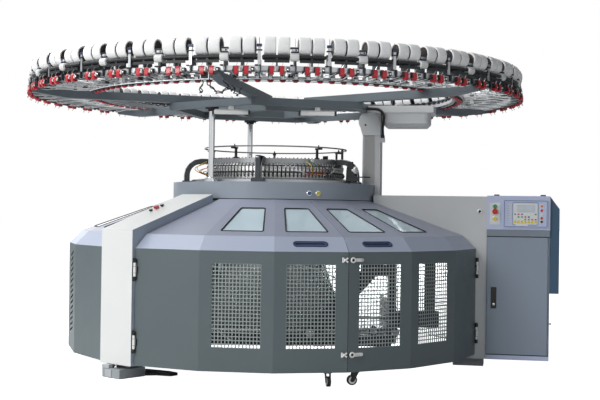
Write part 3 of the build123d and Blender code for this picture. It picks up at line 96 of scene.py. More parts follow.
# Cable beside the feeder column
# Points of its route in the source: radius, shift along the rim and height, on the column's angle
CABLE_ROUTE = [
    (700.035, -150, 1826), (748, -150, 1826), (796, -150, 1818), (824, -148, 1778), (819, -138, 1738),
    (811, -112, 1706), (806, -76, 1682), (805, -48, 1654), (805, -48, 1620.3),
]
cable_points = [at(CABINET_ANGLE, *place).translation * MM for place in CABLE_ROUTE]
cable_curve = bpy.data.curves.new("column_cable_line", "CURVE")
cable_curve.dimensions = "3D"
cable_curve.bevel_depth = 0.010
cable_curve.bevel_resolution = 4
cable_curve.resolution_u = 12
cable_line = cable_curve.splines.new("NURBS")
cable_line.points.add(len(cable_points) - 1)
for spot, place in zip(cable_line.points, cable_points):
    spot.co = (*place, 1)
cable_line.order_u = 3
cable_line.use_endpoint_u = True
cable = add_object("column_cable_run", cable_curve)


# Shader nodes
def feed(target, inputs):
    """Set a node's inputs to values, or link them to other nodes' sockets."""
    for key, value in inputs.items():
        if isinstance(value, bpy.types.NodeSocket):
            target.id_data.links.new(value, target.inputs[key])
        else:
            target.inputs[key].default_value = value


def node(tree, kind, inputs=(), **settings):
    """New node with its settings and inputs."""
    made = tree.nodes.new("ShaderNode" + kind)
    for key, value in settings.items():
        setattr(made, key, value)
    feed(made, dict(inputs))
    return made


def maths(tree, operation, *values):
    """Result of a Math node."""
    return node(tree, "Math", enumerate(values), operation=operation).outputs["Value"]


def dot_product(tree, one, other):
    """Dot product of two vectors."""
    return node(tree, "VectorMath", {0: one, 1: other}, operation="DOT_PRODUCT").outputs["Value"]


def noise(tree, scale, detail, stretch=None):
    """Noise in the piece's own coordinates, stretched along an axis if asked."""
    where = node(tree, "TexCoord").outputs["Object"]
    if stretch:
        where = node(tree, "Mapping", {"Vector": where, "Scale": stretch}).outputs["Vector"]
    return node(tree, "TexNoise", {"Scale": scale, "Detail": detail, "Vector": where}).outputs["Fac"]


def between(tree, value, low, high, start=0, end=1):
    """A value from start to end, mapped to the range from low to high."""
    return node(tree, "MapRange", {
        "Value": value, "From Min": start, "From Max": end, "To Min": low, "To Max": high,
    }).outputs["Result"]


def mix(tree, factor, low, high):
    """Mix of two colours or colour sockets by a factor socket."""
    return node(tree, "Mix", {"Factor": factor, "A": low, "B": high}, data_type="RGBA").outputs["Result"]


def bump(tree, height, strength, distance):
    """Normal of a surface with relief from a height socket."""
    return node(tree, "Bump", {"Height": height, "Strength": strength, "Distance": distance}).outputs["Normal"]


def linear(colour):
    """sRGB 0-255 to linear RGBA."""
    parts = (c / 255 for c in colour)
    return (*(c / 12.92 if c <= 0.04045 else ((c + 0.055) / 1.055) ** 2.4 for c in parts), 1)


def tint(tree, cloud, colour, spread):
    """Clouds of a darker and a lighter shade round an sRGB colour."""
    low = linear([c * (1 - spread) for c in colour])
    high = linear([min(255, c * (1 + spread)) for c in colour])
    return mix(tree, cloud, low, high)


def new_material(name):
    """Material with its node tree and its shader."""
    material = bpy.data.materials.new(name)
    material.use_nodes = True
    return material, material.node_tree, material.node_tree.nodes["Principled BSDF"]


# Materials
def paint(name, colour, roughness=0.38, spread=0.03, metallic=0.0):
    """Powder-coated or sprayed metal: faint cloudy shade, fine orange peel, uneven gloss."""
    material, tree, shader = new_material(name)
    feed(shader, {
        "Base Color": tint(tree, noise(tree, 3.5, 4), colour, spread),
        "Normal": bump(tree, noise(tree, 650, 2), 0.12, 0.0006),
        "Roughness": between(tree, noise(tree, 14, 5), roughness - 0.06, roughness + 0.08),
        "Metallic": metallic,
    })
    return material


def metal(name, colour, roughness=0.25, stretch=(1, 1, 1), grain=260, spread=0.06, relief=0.08):
    """Bare metal with tool marks along one direction."""
    material, tree, shader = new_material(name)
    marks = noise(tree, grain, 4, stretch)
    feed(shader, {
        "Base Color": tint(tree, marks, colour, spread), "Normal": bump(tree, marks, relief, 0.0002),
        "Roughness": between(tree, marks, max(0.02, roughness - 0.06), roughness + 0.08), "Metallic": 1,
    })
    return material


def plastic(name, colour, roughness=0.35, spread=0.04, grain=500, relief=0.1, coat=0.0):
    """Moulded plastic with a fine grain."""
    material, tree, shader = new_material(name)
    feed(shader, {
        "Base Color": tint(tree, noise(tree, 25, 3), colour, spread),
        "Normal": bump(tree, noise(tree, grain, 2), relief, 0.0004), "Roughness": roughness,
        "Coat Weight": coat,
    })
    return material


# Heights in metres where the guard's paint changes
WALL_TOP, BAND_TOP = 0.8345, 0.9245


def guard_paint(name, pale_inside):
    """Dark walls below, a light chamfer band and a slightly darker roof. The fixed sectors are pale inside."""
    material, tree, shader = new_material(name)
    coord = node(tree, "TexCoord").outputs
    height = node(tree, "SeparateXYZ", {"Vector": coord["Object"]}).outputs["Z"]
    cloud = noise(tree, 2.2, 4)
    colour = tint(tree, cloud, (92, 104, 108), 0.05)
    for level, above, spread in ((WALL_TOP, (176, 186, 206), 0.02), (BAND_TOP, (158, 164, 182), 0.04)):
        colour = mix(tree, maths(tree, "GREATER_THAN", height, level), colour, tint(tree, cloud, above, spread))
    if pale_inside:
        inside = maths(tree, "LESS_THAN", dot_product(tree, coord["Normal"], coord["Object"]), -0.6)
        colour = mix(tree, inside, colour, linear((228, 231, 231)))
    feed(shader, {
        "Base Color": colour, "Normal": bump(tree, noise(tree, 600, 2), 0.12, 0.0006),
        "Roughness": between(tree, noise(tree, 9, 5), 0.30, 0.46),
    })
    return material


def cover_paint():
    """White face and slope of the two leg covers, and light blue-grey sides."""
    material, tree, shader = new_material("cover_paint")
    normal = node(tree, "NewGeometry").outputs["True Normal"]
    sideways = []
    for angle in (LEFT_LEG, REAR_LEG):
        along = (cos(radians(angle)), sin(radians(angle)), 0)
        sideways.append(maths(tree, "ABSOLUTE", dot_product(tree, normal, along)))
    on_side = maths(tree, "GREATER_THAN", maths(tree, "MAXIMUM", *sideways), 0.93)
    cloud = noise(tree, 4, 4)
    face, side = tint(tree, cloud, (224, 226, 225), 0.015), tint(tree, cloud, (158, 170, 184), 0.03)
    feed(shader, {
        "Base Color": mix(tree, on_side, face, side), "Normal": bump(tree, noise(tree, 600, 2), 0.1, 0.0006),
        "Roughness": 0.36,
    })
    return material


def knit_cloth(name, colour):
    """Plain jersey: fine wales down the cloth with a soft sheen and a faint cloudiness."""
    material, tree, shader = new_material(name)
    coord = node(tree, "TexCoord").outputs["Object"]
    stitch = 2.2
    loops = 1 / (stitch * MM) / 6.28
    wales = node(tree, "TexWave", {
        "Scale": loops, "Distortion": 1.5, "Detail": 2, "Vector": coord,
    }, bands_direction="X").outputs["Fac"]
    rows = node(tree, "TexWave", {
        "Scale": loops * 0.8, "Distortion": 1.0, "Vector": coord,
    }, bands_direction="Z").outputs["Fac"]
    feed(shader, {
        "Base Color": tint(tree, noise(tree, 6, 5), colour, 0.06),
        "Normal": bump(tree, maths(tree, "MULTIPLY", wales, rows), 0.35, 0.0006), "Roughness": 0.85,
        "Sheen Weight": 0.25,
    })
    return material


def yarn_package(name, colour):
    """Wound yarn: fine turns round each bobbin, seen as a soft rib, with a matt sheen."""
    material, tree, shader = new_material(name)
    feed(shader, {
        "Base Color": tint(tree, noise(tree, 60, 4), colour, 0.025),
        "Normal": bump(tree, noise(tree, 900, 3), 0.25, 0.0008), "Roughness": 0.75, "Sheen Weight": 0.15,
    })
    return material


def painted_pane(name, colour, alpha):
    """Nearly opaque sheet with a faint cloudy tint round a given colour and a gloss that is strong at a flat angle:
    the colour is painted reflection on the pale door panes and painted shade on the dark roof windows.
    """
    material, tree, shader = new_material(name)
    feed(shader, {
        "Base Color": tint(tree, noise(tree, 2.5, 3), colour, 0.03), "Roughness": 0.04, "IOR": 1.6,
        "Alpha": alpha,
    })
    return material


# Colour, roughness, spread of the shade and share of metal
PAINTS = {
    "panel": ((92, 104, 108), 0.38), "white": ((224, 226, 225), 0.34, 0.015),
    "putty": ((172, 173, 171), 0.42, 0.02), "beige": ((203, 205, 206), 0.40, 0.02),
    "bed": ((152, 162, 173), 0.30, 0.04, 0.15), "leg": ((150, 156, 160), 0.5),
    "cabinet": ((140, 152, 167), 0.36, 0.02), "strip": ((128, 138, 150), 0.40, 0.02),
    # The side box's dark blue is partly its own paint and partly painted shade, taken as it looks in shade.
    "lilac": ((193, 203, 230), 0.36, 0.02), "blue": ((58, 88, 114), 0.40, 0.03),
    "frame": ((92, 102, 108), 0.42, 0.05), "takedown": ((34, 40, 42), 0.45, 0.08),
    "bracket": ((72, 76, 80), 0.36, 0.05, 0.4), "dark": ((30, 33, 36), 0.42, 0.08),
}
M = {look: paint(look + "_paint", *values) for look, values in PAINTS.items()}
M.update({
    "guard": guard_paint("guard_paint", False), "fixed_guard": guard_paint("fixed_guard_paint", True),
    "cover": cover_paint(), "mesh": metal("mesh_steel", (150, 158, 158), 0.45, (1, 1, 1), 200, 0.08, 0.1),
    "rod": metal("guide_rod", (112, 114, 116), 0.32, (1, 1, 1), 200, 0.05, 0.02),
    "ring_steel": metal("ring_steel", (158, 160, 162), 0.36, (1, 1, 6), 160, 0.08, 0.05),
    "chrome": metal("chrome", (222, 224, 226), 0.10, (1, 1, 0.05), 120, 0.03, 0.02),
    "steel": metal("machined_steel", (176, 178, 180), 0.30, (1, 1, 8), 220),
    "silver": metal("silver_steel", (205, 206, 206), 0.34, (6, 6, 1), 260, 0.05),
    "alloy": metal("aluminium", (196, 199, 202), 0.38, (1, 1, 6), 240),
    "navy": plastic("navy_plastic", (38, 52, 84), 0.30),
    "pocket": plastic("pocket_plastic", (92, 108, 146), 0.30),
    "black": plastic("black_plastic", (18, 19, 21), 0.32),
    "rubber": plastic("black_rubber", (22, 22, 23), 0.62, 0.1, 350, 0.3),
    "red": plastic("red_plastic", (188, 22, 42), 0.28, 0.05, coat=0.3),
    "green": plastic("green_plastic", (28, 138, 92), 0.28, 0.05, coat=0.3),
    "yellow": plastic("yellow_plastic", (226, 204, 40), 0.28, 0.04, coat=0.3),
    "orange": plastic("orange_plastic", (214, 112, 40), 0.28, 0.04, coat=0.3),
    "lcd": plastic("display_film", (196, 208, 214), 0.12, 0.06, coat=0.6),
    "lip": plastic("handle_lip", (112, 126, 156), 0.35),
    "pale": plastic("pale_plastic", (232, 232, 230), 0.30, 0.02),
    "ceramic": plastic("ceramic", (244, 244, 240), 0.18, 0.01, 300, 0.03, 0.4),
    "blue_cap": plastic("blue_plastic", (60, 84, 132), 0.25, 0.04, coat=0.4),
    "grey": plastic("grey_plastic", (128, 132, 138), 0.42),
    "core": plastic("core_board", (74, 62, 56), 0.75, 0.12, 200, 0.25),
    "belt": plastic("belt_cloth", (36, 38, 40), 0.7, 0.1, 300, 0.3),
    "yarn": yarn_package("yarn_white", (248, 249, 249)), "cloth": knit_cloth("knit_cloth", (178, 186, 184)),
    # Pale door panes: their nearly opaque pale blue is painted reflection.
    "glass": painted_pane("window_glass", (220, 240, 252), 0.85),
    # Dark panes of the fixed sectors' roof windows: painted shade of the inside.
    "shaded_pane": painted_pane("shaded_window_pane", (40, 44, 48), 0.92),
})

CAD_LOOKS = {
    "leg": "legs", "bed": "bed_ring", "cover": "leg_covers",
    "beige": "drive_housing feeder_column belt_drive_box", "guard": "left_guard left_door right_door",
    "fixed_guard": "rear_guard", "glass": "left_door_glass right_door_glass",
    "pocket": "left_door_handle right_door_handle", "ceramic": "hinge_blocks",
    "chrome": "lower_latch upper_latch support_posts", "panel": "left_door_grilles right_door_grilles",
    "black": "left_caster_fork right_caster_fork yarn_feeders cabinet_handle leg_start_button leg_jog_button",
    "rubber": "left_caster_wheel right_caster_wheel column_cable",
    "steel": "needle_cylinder cam_base front_nip_roller rear_nip_roller", "silver": "cam_boxes",
    "ring_steel": "yarn_carrier_ring", "rod": "upper_guide_ring", "bracket": "arch_brackets",
    "frame": "top_frame radial_arms", "pale": "lamps", "alloy": "creel_ring feeder_ring",
    "dark": "bobbin_rollers", "yarn": "bobbins", "red": "yarn_stops stop_button leg_stop_button",
    "takedown": "takedown_frame", "cloth": "cloth_roll fabric", "cabinet": "cabinet_body cabinet_door",
    "blue": "side_box", "lilac": "operator_panel keypad", "white": "switch_plate", "green": "start_button",
    "yellow": "jog_button bed_reset_button", "blue_cap": "bed_start_button",
}
# Width of the rounded edge on CAD nodes that keep their shape
CAD_EDGES = {
    1.2: "switch_plate",
    1.5: "keypad",
    2: "operator_panel start_button jog_button leg_start_button leg_jog_button bed_start_button"
       " bed_reset_button arch_brackets",
    2.5: "cabinet_door stop_button leg_stop_button takedown_frame",
    3: "bed_ring cabinet_body side_box top_frame radial_arms legs lamps",
    3.5: "leg_covers drive_housing",
    4: "belt_drive_box",
    6: "feeder_column",
}


def round_edges(thing, width, limit):
    """Rounded edges where faces meet at more than an angle."""
    edge = thing.modifiers.new("rounded_edges", "BEVEL")
    edge.width = width * MM
    edge.segments = 2
    edge.limit_method = "ANGLE"
    edge.angle_limit = radians(limit)


for look, names in CAD_LOOKS.items():
    for name in names.split():
        nodes[name].data.materials.clear()
        nodes[name].data.materials.append(M[look])
for width, names in CAD_EDGES.items():
    for name in names.split():
        round_edges(nodes[name], width, 32)

cable_curve.materials.append(M["rubber"])
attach(cable, "frame")
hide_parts("column_cable")


# Mesh building
def turn_x(angle):
    """Turn about x."""
    return Matrix.Rotation(radians(angle), 4, "X")


def move(x, y, z):
    """Shift along a frame's own axes."""
    return Matrix.Translation((x, y, z))


LIE_ALONG = turn_x(-90)
ON_SIDE = turn_x(90)
FACE_OUT = Matrix.Rotation(radians(90), 4, "Y")
WORLD = Matrix.Identity(4)


def mirrored(half, middle=()):
    """Profile that is the same at both ends, from its upper half listed from the axis outwards."""
    return [(r, -z) for r, z in half] + [*middle] + half[::-1]


class Piece:
    """Faces gathered in millimetres, each with a material, and made into one object at the end."""

    def __init__(self):
        self.points = []
        self.faces = []
        self.looks = []
        self.palette = []

    def add(self, place, points, faces, look):
        """Points and faces in a frame, in one look."""
        if look not in self.palette:
            self.palette.append(look)
        base = len(self.points)
        self.points.extend(place @ Vector(p) for p in points)
        self.faces.extend([base + i for i in face] for face in faces)
        self.looks.extend([self.palette.index(look)] * len(faces))

    def blocks(self, place, *rows):
        """Blocks in one frame, each with its ends in x, y and z and its look."""
        faces = [(0, 2, 3, 1), (4, 5, 7, 6), (0, 1, 5, 4), (1, 3, 7, 5), (3, 2, 6, 7), (2, 0, 4, 6)]
        for left, right, near, far, low, high, look in rows:
            points = [(x, y, z) for z in (low, high) for y in (near, far) for x in (left, right)]
            self.add(place, points, faces, look)

    def prism(self, place, outline, low, high, look):
        """Outline in the frame's x and y, extruded from low to high along its z."""
        n = len(outline)
        points = [(x, y, z) for z in (low, high) for x, y in outline]
        faces = [[n - 1 - i for i in range(n)], [n + i for i in range(n)]]
        faces += [[i, (i + 1) % n, n + (i + 1) % n, n + i] for i in range(n)]
        self.add(place, points, faces, look)

    def turned(self, place, profile, look, sides=20, ring=False):
        """Profile of radii and heights turned about the frame's z. A ring closes on itself."""
        points = []
        rows = []
        for radius, height in profile:
            count = sides if radius else 1
            rows.append(range(len(points), len(points) + count))
            for i in range(count):
                a = 2 * pi * i / sides
                points.append((radius * cos(a), radius * sin(a), height))
        faces = []
        for low, high in zip(rows, rows[1:] + rows[:1] if ring else rows[1:]):
            for i in range(sides):
                j = (i + 1) % sides
                if len(high) > 1:
                    faces.append((low[0], high[j], high[i]) if len(low) == 1 else (low[i], low[j], high[j], high[i]))
                elif len(low) > 1:
                    faces.append((low[i], low[j], high[0]))
        self.add(place, points, faces, look)

    def capped(self, place, profile, look, sides=20):
        """Turned profile with both ends closed on the axis."""
        self.turned(place, [(0, profile[0][1]), *profile, (0, profile[-1][1])], look, sides)

    def collar(self, place, radii, heights, look, sides):
        """Ring of rectangular section."""
        (inner, outer), (low, high) = radii, heights
        self.turned(place, [(inner, low), (outer, low), (outer, high), (inner, high)], look, sides, True)

    def pipe(self, place, path, radius, look, sides=8, closed=False):
        """Round bar along a path of points."""
        path = [Vector(p) for p in path]
        count = len(path)
        points = []
        normal = None
        for i, p in enumerate(path):
            before = path[i - 1] if i or closed else p
            after = path[(i + 1) % count] if i < count - 1 or closed else p
            run = (after - before).normalized()
            if normal is None:
                normal = run.orthogonal().normalized()
            normal = (normal - run * normal.dot(run)).normalized()
            side = run.cross(normal)
            for k in range(sides):
                a = 2 * pi * k / sides
                points.append(p + (normal * cos(a) + side * sin(a)) * radius)
        faces = []
        for i in range(count if closed else count - 1):
            j = (i + 1) % count
            for k in range(sides):
                m = (k + 1) % sides
                faces.append((i * sides + k, i * sides + m, j * sides + m, j * sides + k))
        if not closed:
            faces.append([sides - 1 - k for k in range(sides)])
            faces.append([(count - 1) * sides + k for k in range(sides)])
        self.add(place, points, faces, look)

    def perforated(self, place, width, height, columns, rows, bar, depth, look):
        """Sheet with rows of square holes, centred in the frame's y and z, with its front at x 0."""
        def breaks(size, count):
            pitch = size / count
            out = [-size / 2 - bar]
            for i in range(count):
                out += [-size / 2 + pitch * i + bar / 2, -size / 2 + pitch * (i + 1) - bar / 2]
            return out + [size / 2 + bar]
        ys, zs = breaks(width, columns), breaks(height, rows)
        points = [(x, y, z) for x in (0, -depth) for z in zs for y in ys]
        across = len(ys)
        layer = across * len(zs)
        faces = []
        for row in range(len(zs) - 1):
            for column in range(across - 1):
                a = row * across + column
                b, c, d = a + 1, a + 1 + across, a + across
                if row % 2 and column % 2:
                    for start, end in ((a, b), (b, c), (c, d), (d, a)):
                        faces.append((start, end, layer + end, layer + start))
                else:
                    faces += [(a, b, c, d), (layer + d, layer + c, layer + b, layer + a)]
        self.add(place, points, faces, look)

    def make(self, name, slot, body="frame", replaces=(), angle=38, edge=0):
        """The object, smooth up to an angle, riding on a CAD body and replacing CAD nodes."""
        mesh = bpy.data.meshes.new(name)
        mesh.from_pydata([p * MM for p in self.points], [], self.faces)
        for look in self.palette:
            mesh.materials.append(M[look])
        mesh.polygons.foreach_set("material_index", self.looks)
        mesh.update()
        mesh.shade_smooth()
        mesh.set_sharp_from_angle(angle=radians(angle))
        made = add_object(name, mesh)
        if edge:
            round_edges(made, edge, 35)
        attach(made, body)
        if replaces:
            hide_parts(*replaces)
        return made


# Creel: yarn bobbins in pairs, each worn down a little differently
PAIRS = 54
PAIR_ANGLE = 360 / PAIRS
CREEL_R = 1741
BOBBIN_R, BOBBIN_Z, ROLLER_Z = 56, 2054.5, 1988
BOBBIN_WEAR = (0.0, 1.5, 0.6, 2.2, 0.9, 0.2, 1.8)
bobbins = Piece()
for index in range(PAIRS * 2):
    axis = at(PAIR_ANGLE * (index // 2), CREEL_R, 41 if index % 2 else -41, BOBBIN_Z) @ LIE_ALONG
    body = BOBBIN_R - BOBBIN_WEAR[index % 7]
    bobbins.turned(axis, mirrored([
        (43, 31), (body - 8, 36), (body - 2.5, 35), (body - 0.6, 31), (body, 24),
    ], [(body, 0)]), "yarn", 28)
    # The core board's dark brown is partly its own colour and partly painted shade, and the dark plug that fills each
    # bore is painted shade inside the hollow ends.
    bobbins.turned(axis, mirrored([(43.2, 32), (30, 30)]), "core", 28)
    bobbins.capped(axis, mirrored([(27, 33), (29.5, 31)]), "dark", 20)
bobbins.make("bobbins_wound", "yarn_white", replaces=["bobbins"])

rollers = Piece()
for step in range(PAIRS):
    here = at(PAIR_ANGLE * step)
    for side in (-35, 35):
        axis = here @ move(CREEL_R + side, 0, ROLLER_Z) @ LIE_ALONG
        rollers.capped(axis, mirrored([(6, 88), (6, 84), (11, 84)]), "dark", 14)
    rollers.blocks(
        here,
        (1697, 1785, -5, 5, 1935, 1979, "bracket"), (1712, 1770, -8, 8, 1934.5, 1941, "alloy"),
        (1786, 1790, -74, 74, 1952, 1969, "dark"), (1700, 1782, -98, -92, 1935, 1969, "bracket"),
    )
    # Between two pairs: a drive motor with its clamps, or a bracket with a clamp on top
    beside = at(PAIR_ANGLE * (step + 0.5))
    rollers.blocks(beside, (1700, 1783, -4, 4, 1934.5, 1998, "bracket"))
    if step % 2 == 0:
        motor = mirrored([(20, 27), (24, 25), (25, 21)])
        rollers.capped(beside @ move(1777, 0, 1986) @ LIE_ALONG, motor, "white", 20)
        rollers.blocks(
            beside,
            (1752, 1790, -21, 21, 2012, 2019, "navy"), (1748, 1784, -25, 25, 2036, 2044, "dark"),
            (1755, 1762, -4, 4, 1990, 2044, "dark"), (1765, 1780, -17, 17, 2020, 2034, "pale"),
            (1774, 1781, 4, 12, 2022, 2032, "navy"),
        )
    else:
        rollers.blocks(
            beside,
            (1779, 1786, -9, 9, 1940, 2046, "alloy"), (1775, 1789, -15, 15, 2046, 2062, "navy"),
            (1773, 1791, -17, 17, 2022, 2029, "dark"), (1781, 1788, -20, -10, 1990, 2004, "dark"),
        )
        rollers.pipe(beside, [(1783, 0, 2060), (1783, 0, 2098)], 1.8, "dark", 6)
    if step % 3 == 0:
        rollers.pipe(beside, [(1697, 10, 1940), (1697, 10, 2108)], 1.3, "steel", 5)
rollers.make("creel_rollers", "roller_steel", replaces=["bobbin_rollers"])

STOP_OUTLINE = [(1774, 1893), (1779, 1881), (1796, 1881), (1804, 1890), (1804, 1919), (1796, 1932), (1774, 1934)]
stops = Piece()
for step in range(PAIRS):
    here = at(PAIR_ANGLE * step)
    stops.blocks(here, (1775.3, 1781, -98, 98, 1907, 1930, "alloy"), (1779, 1797, -100, -93, 1896, 1938, "dark"))
    for side in (-30, 30):
        stop = here @ move(0, side, 0)
        stops.prism(stop @ ON_SIDE, STOP_OUTLINE, -13, 13, "red")
        eye = mirrored([(8, 8), (9, 6), (6, 4)])
        stops.capped(stop @ move(1794, 18, 1907) @ LIE_ALONG, eye, "ceramic", 12)
        stops.blocks(
            stop,
            (1781, 1796, 11, 25, 1911, 1926, "pale"), (1781, 1803, -22, -11, 1898, 1914, "black"),
            (1781, 1799, -20, -12, 1916, 1930, "dark"),
        )
        stops.pipe(stop, [(1792, 4, 1884), (1797, 4, 1873), (1802, 4, 1866)], 1.8, "dark", 6)
        stops.pipe(stop, [(1796, 0, 1930), (1800, 6, 1946), (1797, 14, 1953)], 1.4, "chrome", 6)
    stops.capped(here @ move(1797, 67, 1910) @ FACE_OUT, [(6, 0), (6, 5), (3, 7)], "chrome", 12)
    stops.blocks(
        here,
        (1781, 1799, 58, 76, 1897, 1924, "dark"), (1779, 1786, 78, 98, 1933, 1941, "black"),
        (1710, 1775, -52, -46, 1896, 1905, "dark"), (1716, 1770, 38, 52, 1893, 1905, "grey"),
    )
stops.make("yarn_stop_units", "red_plastic", replaces=["yarn_stops"])

FEEDER_OUTLINE = [
    (1321.5, 1908), (1352, 1908), (1362, 1918), (1372, 1922), (1372, 1934), (1346, 1944), (1321.5, 1944),
]
UPPER_WHEEL = [(21, 0), (22, 2), (13, 5), (13, 14), (22, 17), (21, 20), (8, 20), (8, 24)]
LOWER_WHEEL = [(15, -15), (21, -11), (23, -5), (23, 2), (14, 3)]
FEEDER_R = 1347
feeders = Piece()
for index in range(PAIRS * 2):
    feeder = at(PAIR_ANGLE * (index // 2), 0, 38.5 if index % 2 else -38.5)
    feeders.prism(feeder @ ON_SIDE, FEEDER_OUTLINE, -14, 14, "grey")
    feeders.capped(feeder @ move(FEEDER_R, 0, 1944), UPPER_WHEEL, "black", 16)
    feeders.capped(feeder @ move(FEEDER_R, 0, 1909), LOWER_WHEEL, "black", 16)
    feeders.capped(feeder @ move(1349, 0, 1894), [(12, -8), (17, -4), (17, 1)], "red", 14)
    feeders.blocks(feeder, (1364, 1374, -10, 10, 1906, 1920, "pale"), (1369, 1375, -17, -9, 1923, 1937, "dark"))
    feeders.pipe(feeder, [(1360, 8, 1940), (1374, 10, 1952), (1376, 4, 1964)], 1.4, "chrome", 6)
    feeders.pipe(feeder, [(1366, -8, 1910), (1378, -8, 1896), (1372, -6, 1886)], 1.4, "dark", 6)
feeders.make("positive_feeders", "feeder_plastic", replaces=["yarn_feeders"])

# Drive belts over the feeders' wheels, and the thin wires beside them
belts = Piece()
for radius in (1369.5, 1324.5):
    belts.collar(WORLD, (radius, radius + 1.5), (1952, 1958), "belt", 108)
for radius, height in ((1313, 1897), (1384, 1903)):
    belts.turned(WORLD, [
        (radius - 3, height), (radius, height - 3), (radius + 3, height), (radius, height + 3),
    ], "alloy", 108, True)
for step in range(PAIRS // 3):
    belts.blocks(at(PAIR_ANGLE * (3 * step + 0.5)), (1310, 1387, -3, 3, 1899, 1906, "alloy"))
belts.make("feeder_belts", "feeder_plastic")

# Thin yarn guide arms across the creel, with their ceramic eyes and wires
guides = Piece()
for step in range(PAIRS):
    beside = at(PAIR_ANGLE * (step + 0.5))
    guides.blocks(beside, (1388, 1712, -4, 4, 1912, 1920, "alloy"), (1560, 1640, -26, 26, 1920, 1924, "alloy"))
    for side in (-20, 20):
        eye = beside @ move(1600, side, 1924)
        guides.capped(eye, [(8, 0), (8, 9), (4, 13)], "ceramic", 12)
        guides.pipe(beside, [
            (1770, side * 2.2, 1902), (1690, side * 1.6, 1893), (1600, side, 1908), (1480, side * 1.3, 1899),
            (1390, side * 1.8, 1905),
        ], 2.2, "white", 6)
    guides.blocks(beside, (1450, 1474, -16, 16, 1904, 1926, "pale" if step % 2 else "dark"))
guides.make("yarn_guide_arms", "ring_aluminium")

# Arm with a knob at the right end of the creel
side_arm = Piece()
side_arm.blocks(at(90), (1775, 1812, -12, 12, 1912, 1924, "alloy"), (1782, 1796, -5, 5, 1924, 1976, "black"))
side_arm.capped(at(90, 1789, 0, 1976), [(9, -4), (13, 1), (13, 8), (9, 12)], "black", 16)
side_arm.make("creel_side_arm", "ring_aluminium", edge=1.2)

# Knitting head: cam segments with their screws and pins, all the way round
CAMS = 108
CAM_FOOT_Z, CAM_TOP_Z = 1315, 1413
CAM_OUTLINE = [
    (450, CAM_FOOT_Z), (500, CAM_FOOT_Z), (503, 1322), (503, 1348), (499, 1352), (499, 1358), (504, 1362),
    (504, 1396), (494, CAM_TOP_Z), (450, CAM_TOP_Z),
]
head = Piece()
for step in range(CAMS):
    here = at(360 / CAMS * step)
    head.prism(here @ ON_SIDE, CAM_OUTLINE, -9.5, 9.5, "silver")
    head.blocks(
        here,
        (449, 490, -12, 12, CAM_FOOT_Z, CAM_TOP_Z - 6, "dark"), (504, 512, -5, 5, 1354, 1359, "black"),
    )
    head.capped(here @ move(503, 0, 1381) @ FACE_OUT, [(3.5, 0), (3, 2.5)], "black", 10)
    head.capped(here @ move(502, 0, 1333) @ FACE_OUT, [(3, 0), (2.6, 2.5)], "black", 10)
    head.pipe(here, [(503, 9, 1324), (512, 9, 1336), (515, 9, 1344), (511, 9, 1352)], 2.2, "black", 6)
head.make("cam_segments", "machined_steel", replaces=["cam_boxes"])

lines = Piece()
lines.collar(WORLD, (504.5, 507), (1350, 1354), "dark", 144)
lines.collar(WORLD, (505, 508), (1399, 1405), "dark", 144)
lines.collar(WORLD, (507, 522), (1315, 1319), "steel", 144)
for step in range(CAMS):
    beside = at(360 / CAMS * (step + 0.5))
    lines.capped(beside @ move(500, 0, 1419), [(3.2, -5), (3.2, 2)], "pale", 8)
    lines.pipe(beside, [(497, 0, 1416), (506, 0, 1404), (509, 0, 1388)], 1.5, "chrome", 5)
    lines.blocks(beside, (486, 499, -3, 3, 1452, 1458, "dark" if step % 3 else "alloy"))
lines.make("yarn_carriers", "machined_steel")

# Holders of the upper guide ring, then bright edges and foot blocks of the arched brackets
ARCH_EDGE = [(675.5, 1292), (675.5, 1336), (666.5, 1382), (640, 1421), (601, 1447), (555, 1456.5), (508, 1456.5)]
fittings = Piece()
for step in range(5):
    here = at(-35 + 72 * step)
    fittings.blocks(
        here,
        (478, 502, -13, 13, 1452, 1462, "black"), (483, 495, -8, 8, 1462, 1527, "black"),
        (480, 533, -13, 13, 1519, 1530.5, "black"),
    )
    knob = [(7, 0), (7, 10), (4, 14), (4, 22)]
    fittings.capped(here @ move(506, 0, 1530), knob, "black", 12)
for step in range(5):
    here = at(-10 + 72 * step)
    for side in (-17.5, 17.5):
        fittings.pipe(here, [(r, side, z) for r, z in ARCH_EDGE], 1.8, "alloy", 6)
    fittings.blocks(here, (622, 690, -30, 30, 1280.3, 1294, "bracket"))
    for side in (-23, 23):
        fittings.capped(here @ move(680, side, 1294), [(5, 0), (5, 5)], "chrome", 8)
# Front bracket with its block
front = at(-10)
fittings.blocks(
    front,
    (688, 698, -18.5, 15, 1281, 1448, "bracket"), (650, 704, -46, 38, 1280.5, 1308, "bracket"),
    (520, 690, -18.5, 15, 1456.5, 1463, "bracket"),
)
fittings.pipe(front, [(699, -18, 1300), (699, -18, 1440), (688, -18, 1462), (530, -18, 1464)], 2, "alloy", 6)
# Round handwheel, angled plate, lever and small blocks on the right
fittings.prism(at(58) @ ON_SIDE, [
    (600, 1300), (700, 1300), (700, 1326), (668, 1342), (650, 1440), (616, 1440), (604, 1380),
], -9, 9, "dark")
fittings.turned(at(56, 678, 0, 1378) @ FACE_OUT, [
    (0, -20), (9, -20), (9, 0), (24, 2), (26, 8), (24, 18), (0, 20),
], "ceramic", 24)
fittings.capped(at(56, 699, 0, 1378) @ FACE_OUT, [(8, -2), (7, 1)], "chrome", 16)
fittings.pipe(at(62), [(640, 30, 1330), (700, 42, 1334), (742, 60, 1332)], 4.5, "black", 8)
fittings.turned(at(30, 520, 0, 1436) @ FACE_OUT, [(0, -8), (12, -8), (14, 0), (11, 6), (0, 8)], "ceramic", 18)
for angle, block in (
    (43, (500, 540, -7, 7, 1452, 1476, "black")),
    (50, (560, 600, -10, 10, 1400, 1414, "black")),
    (68, (516, 530, -8, 8, 1420, 1531, "black")),
):
    fittings.blocks(at(angle), block)
fittings.make("head_fittings", "bracket_paint", edge=0.8)

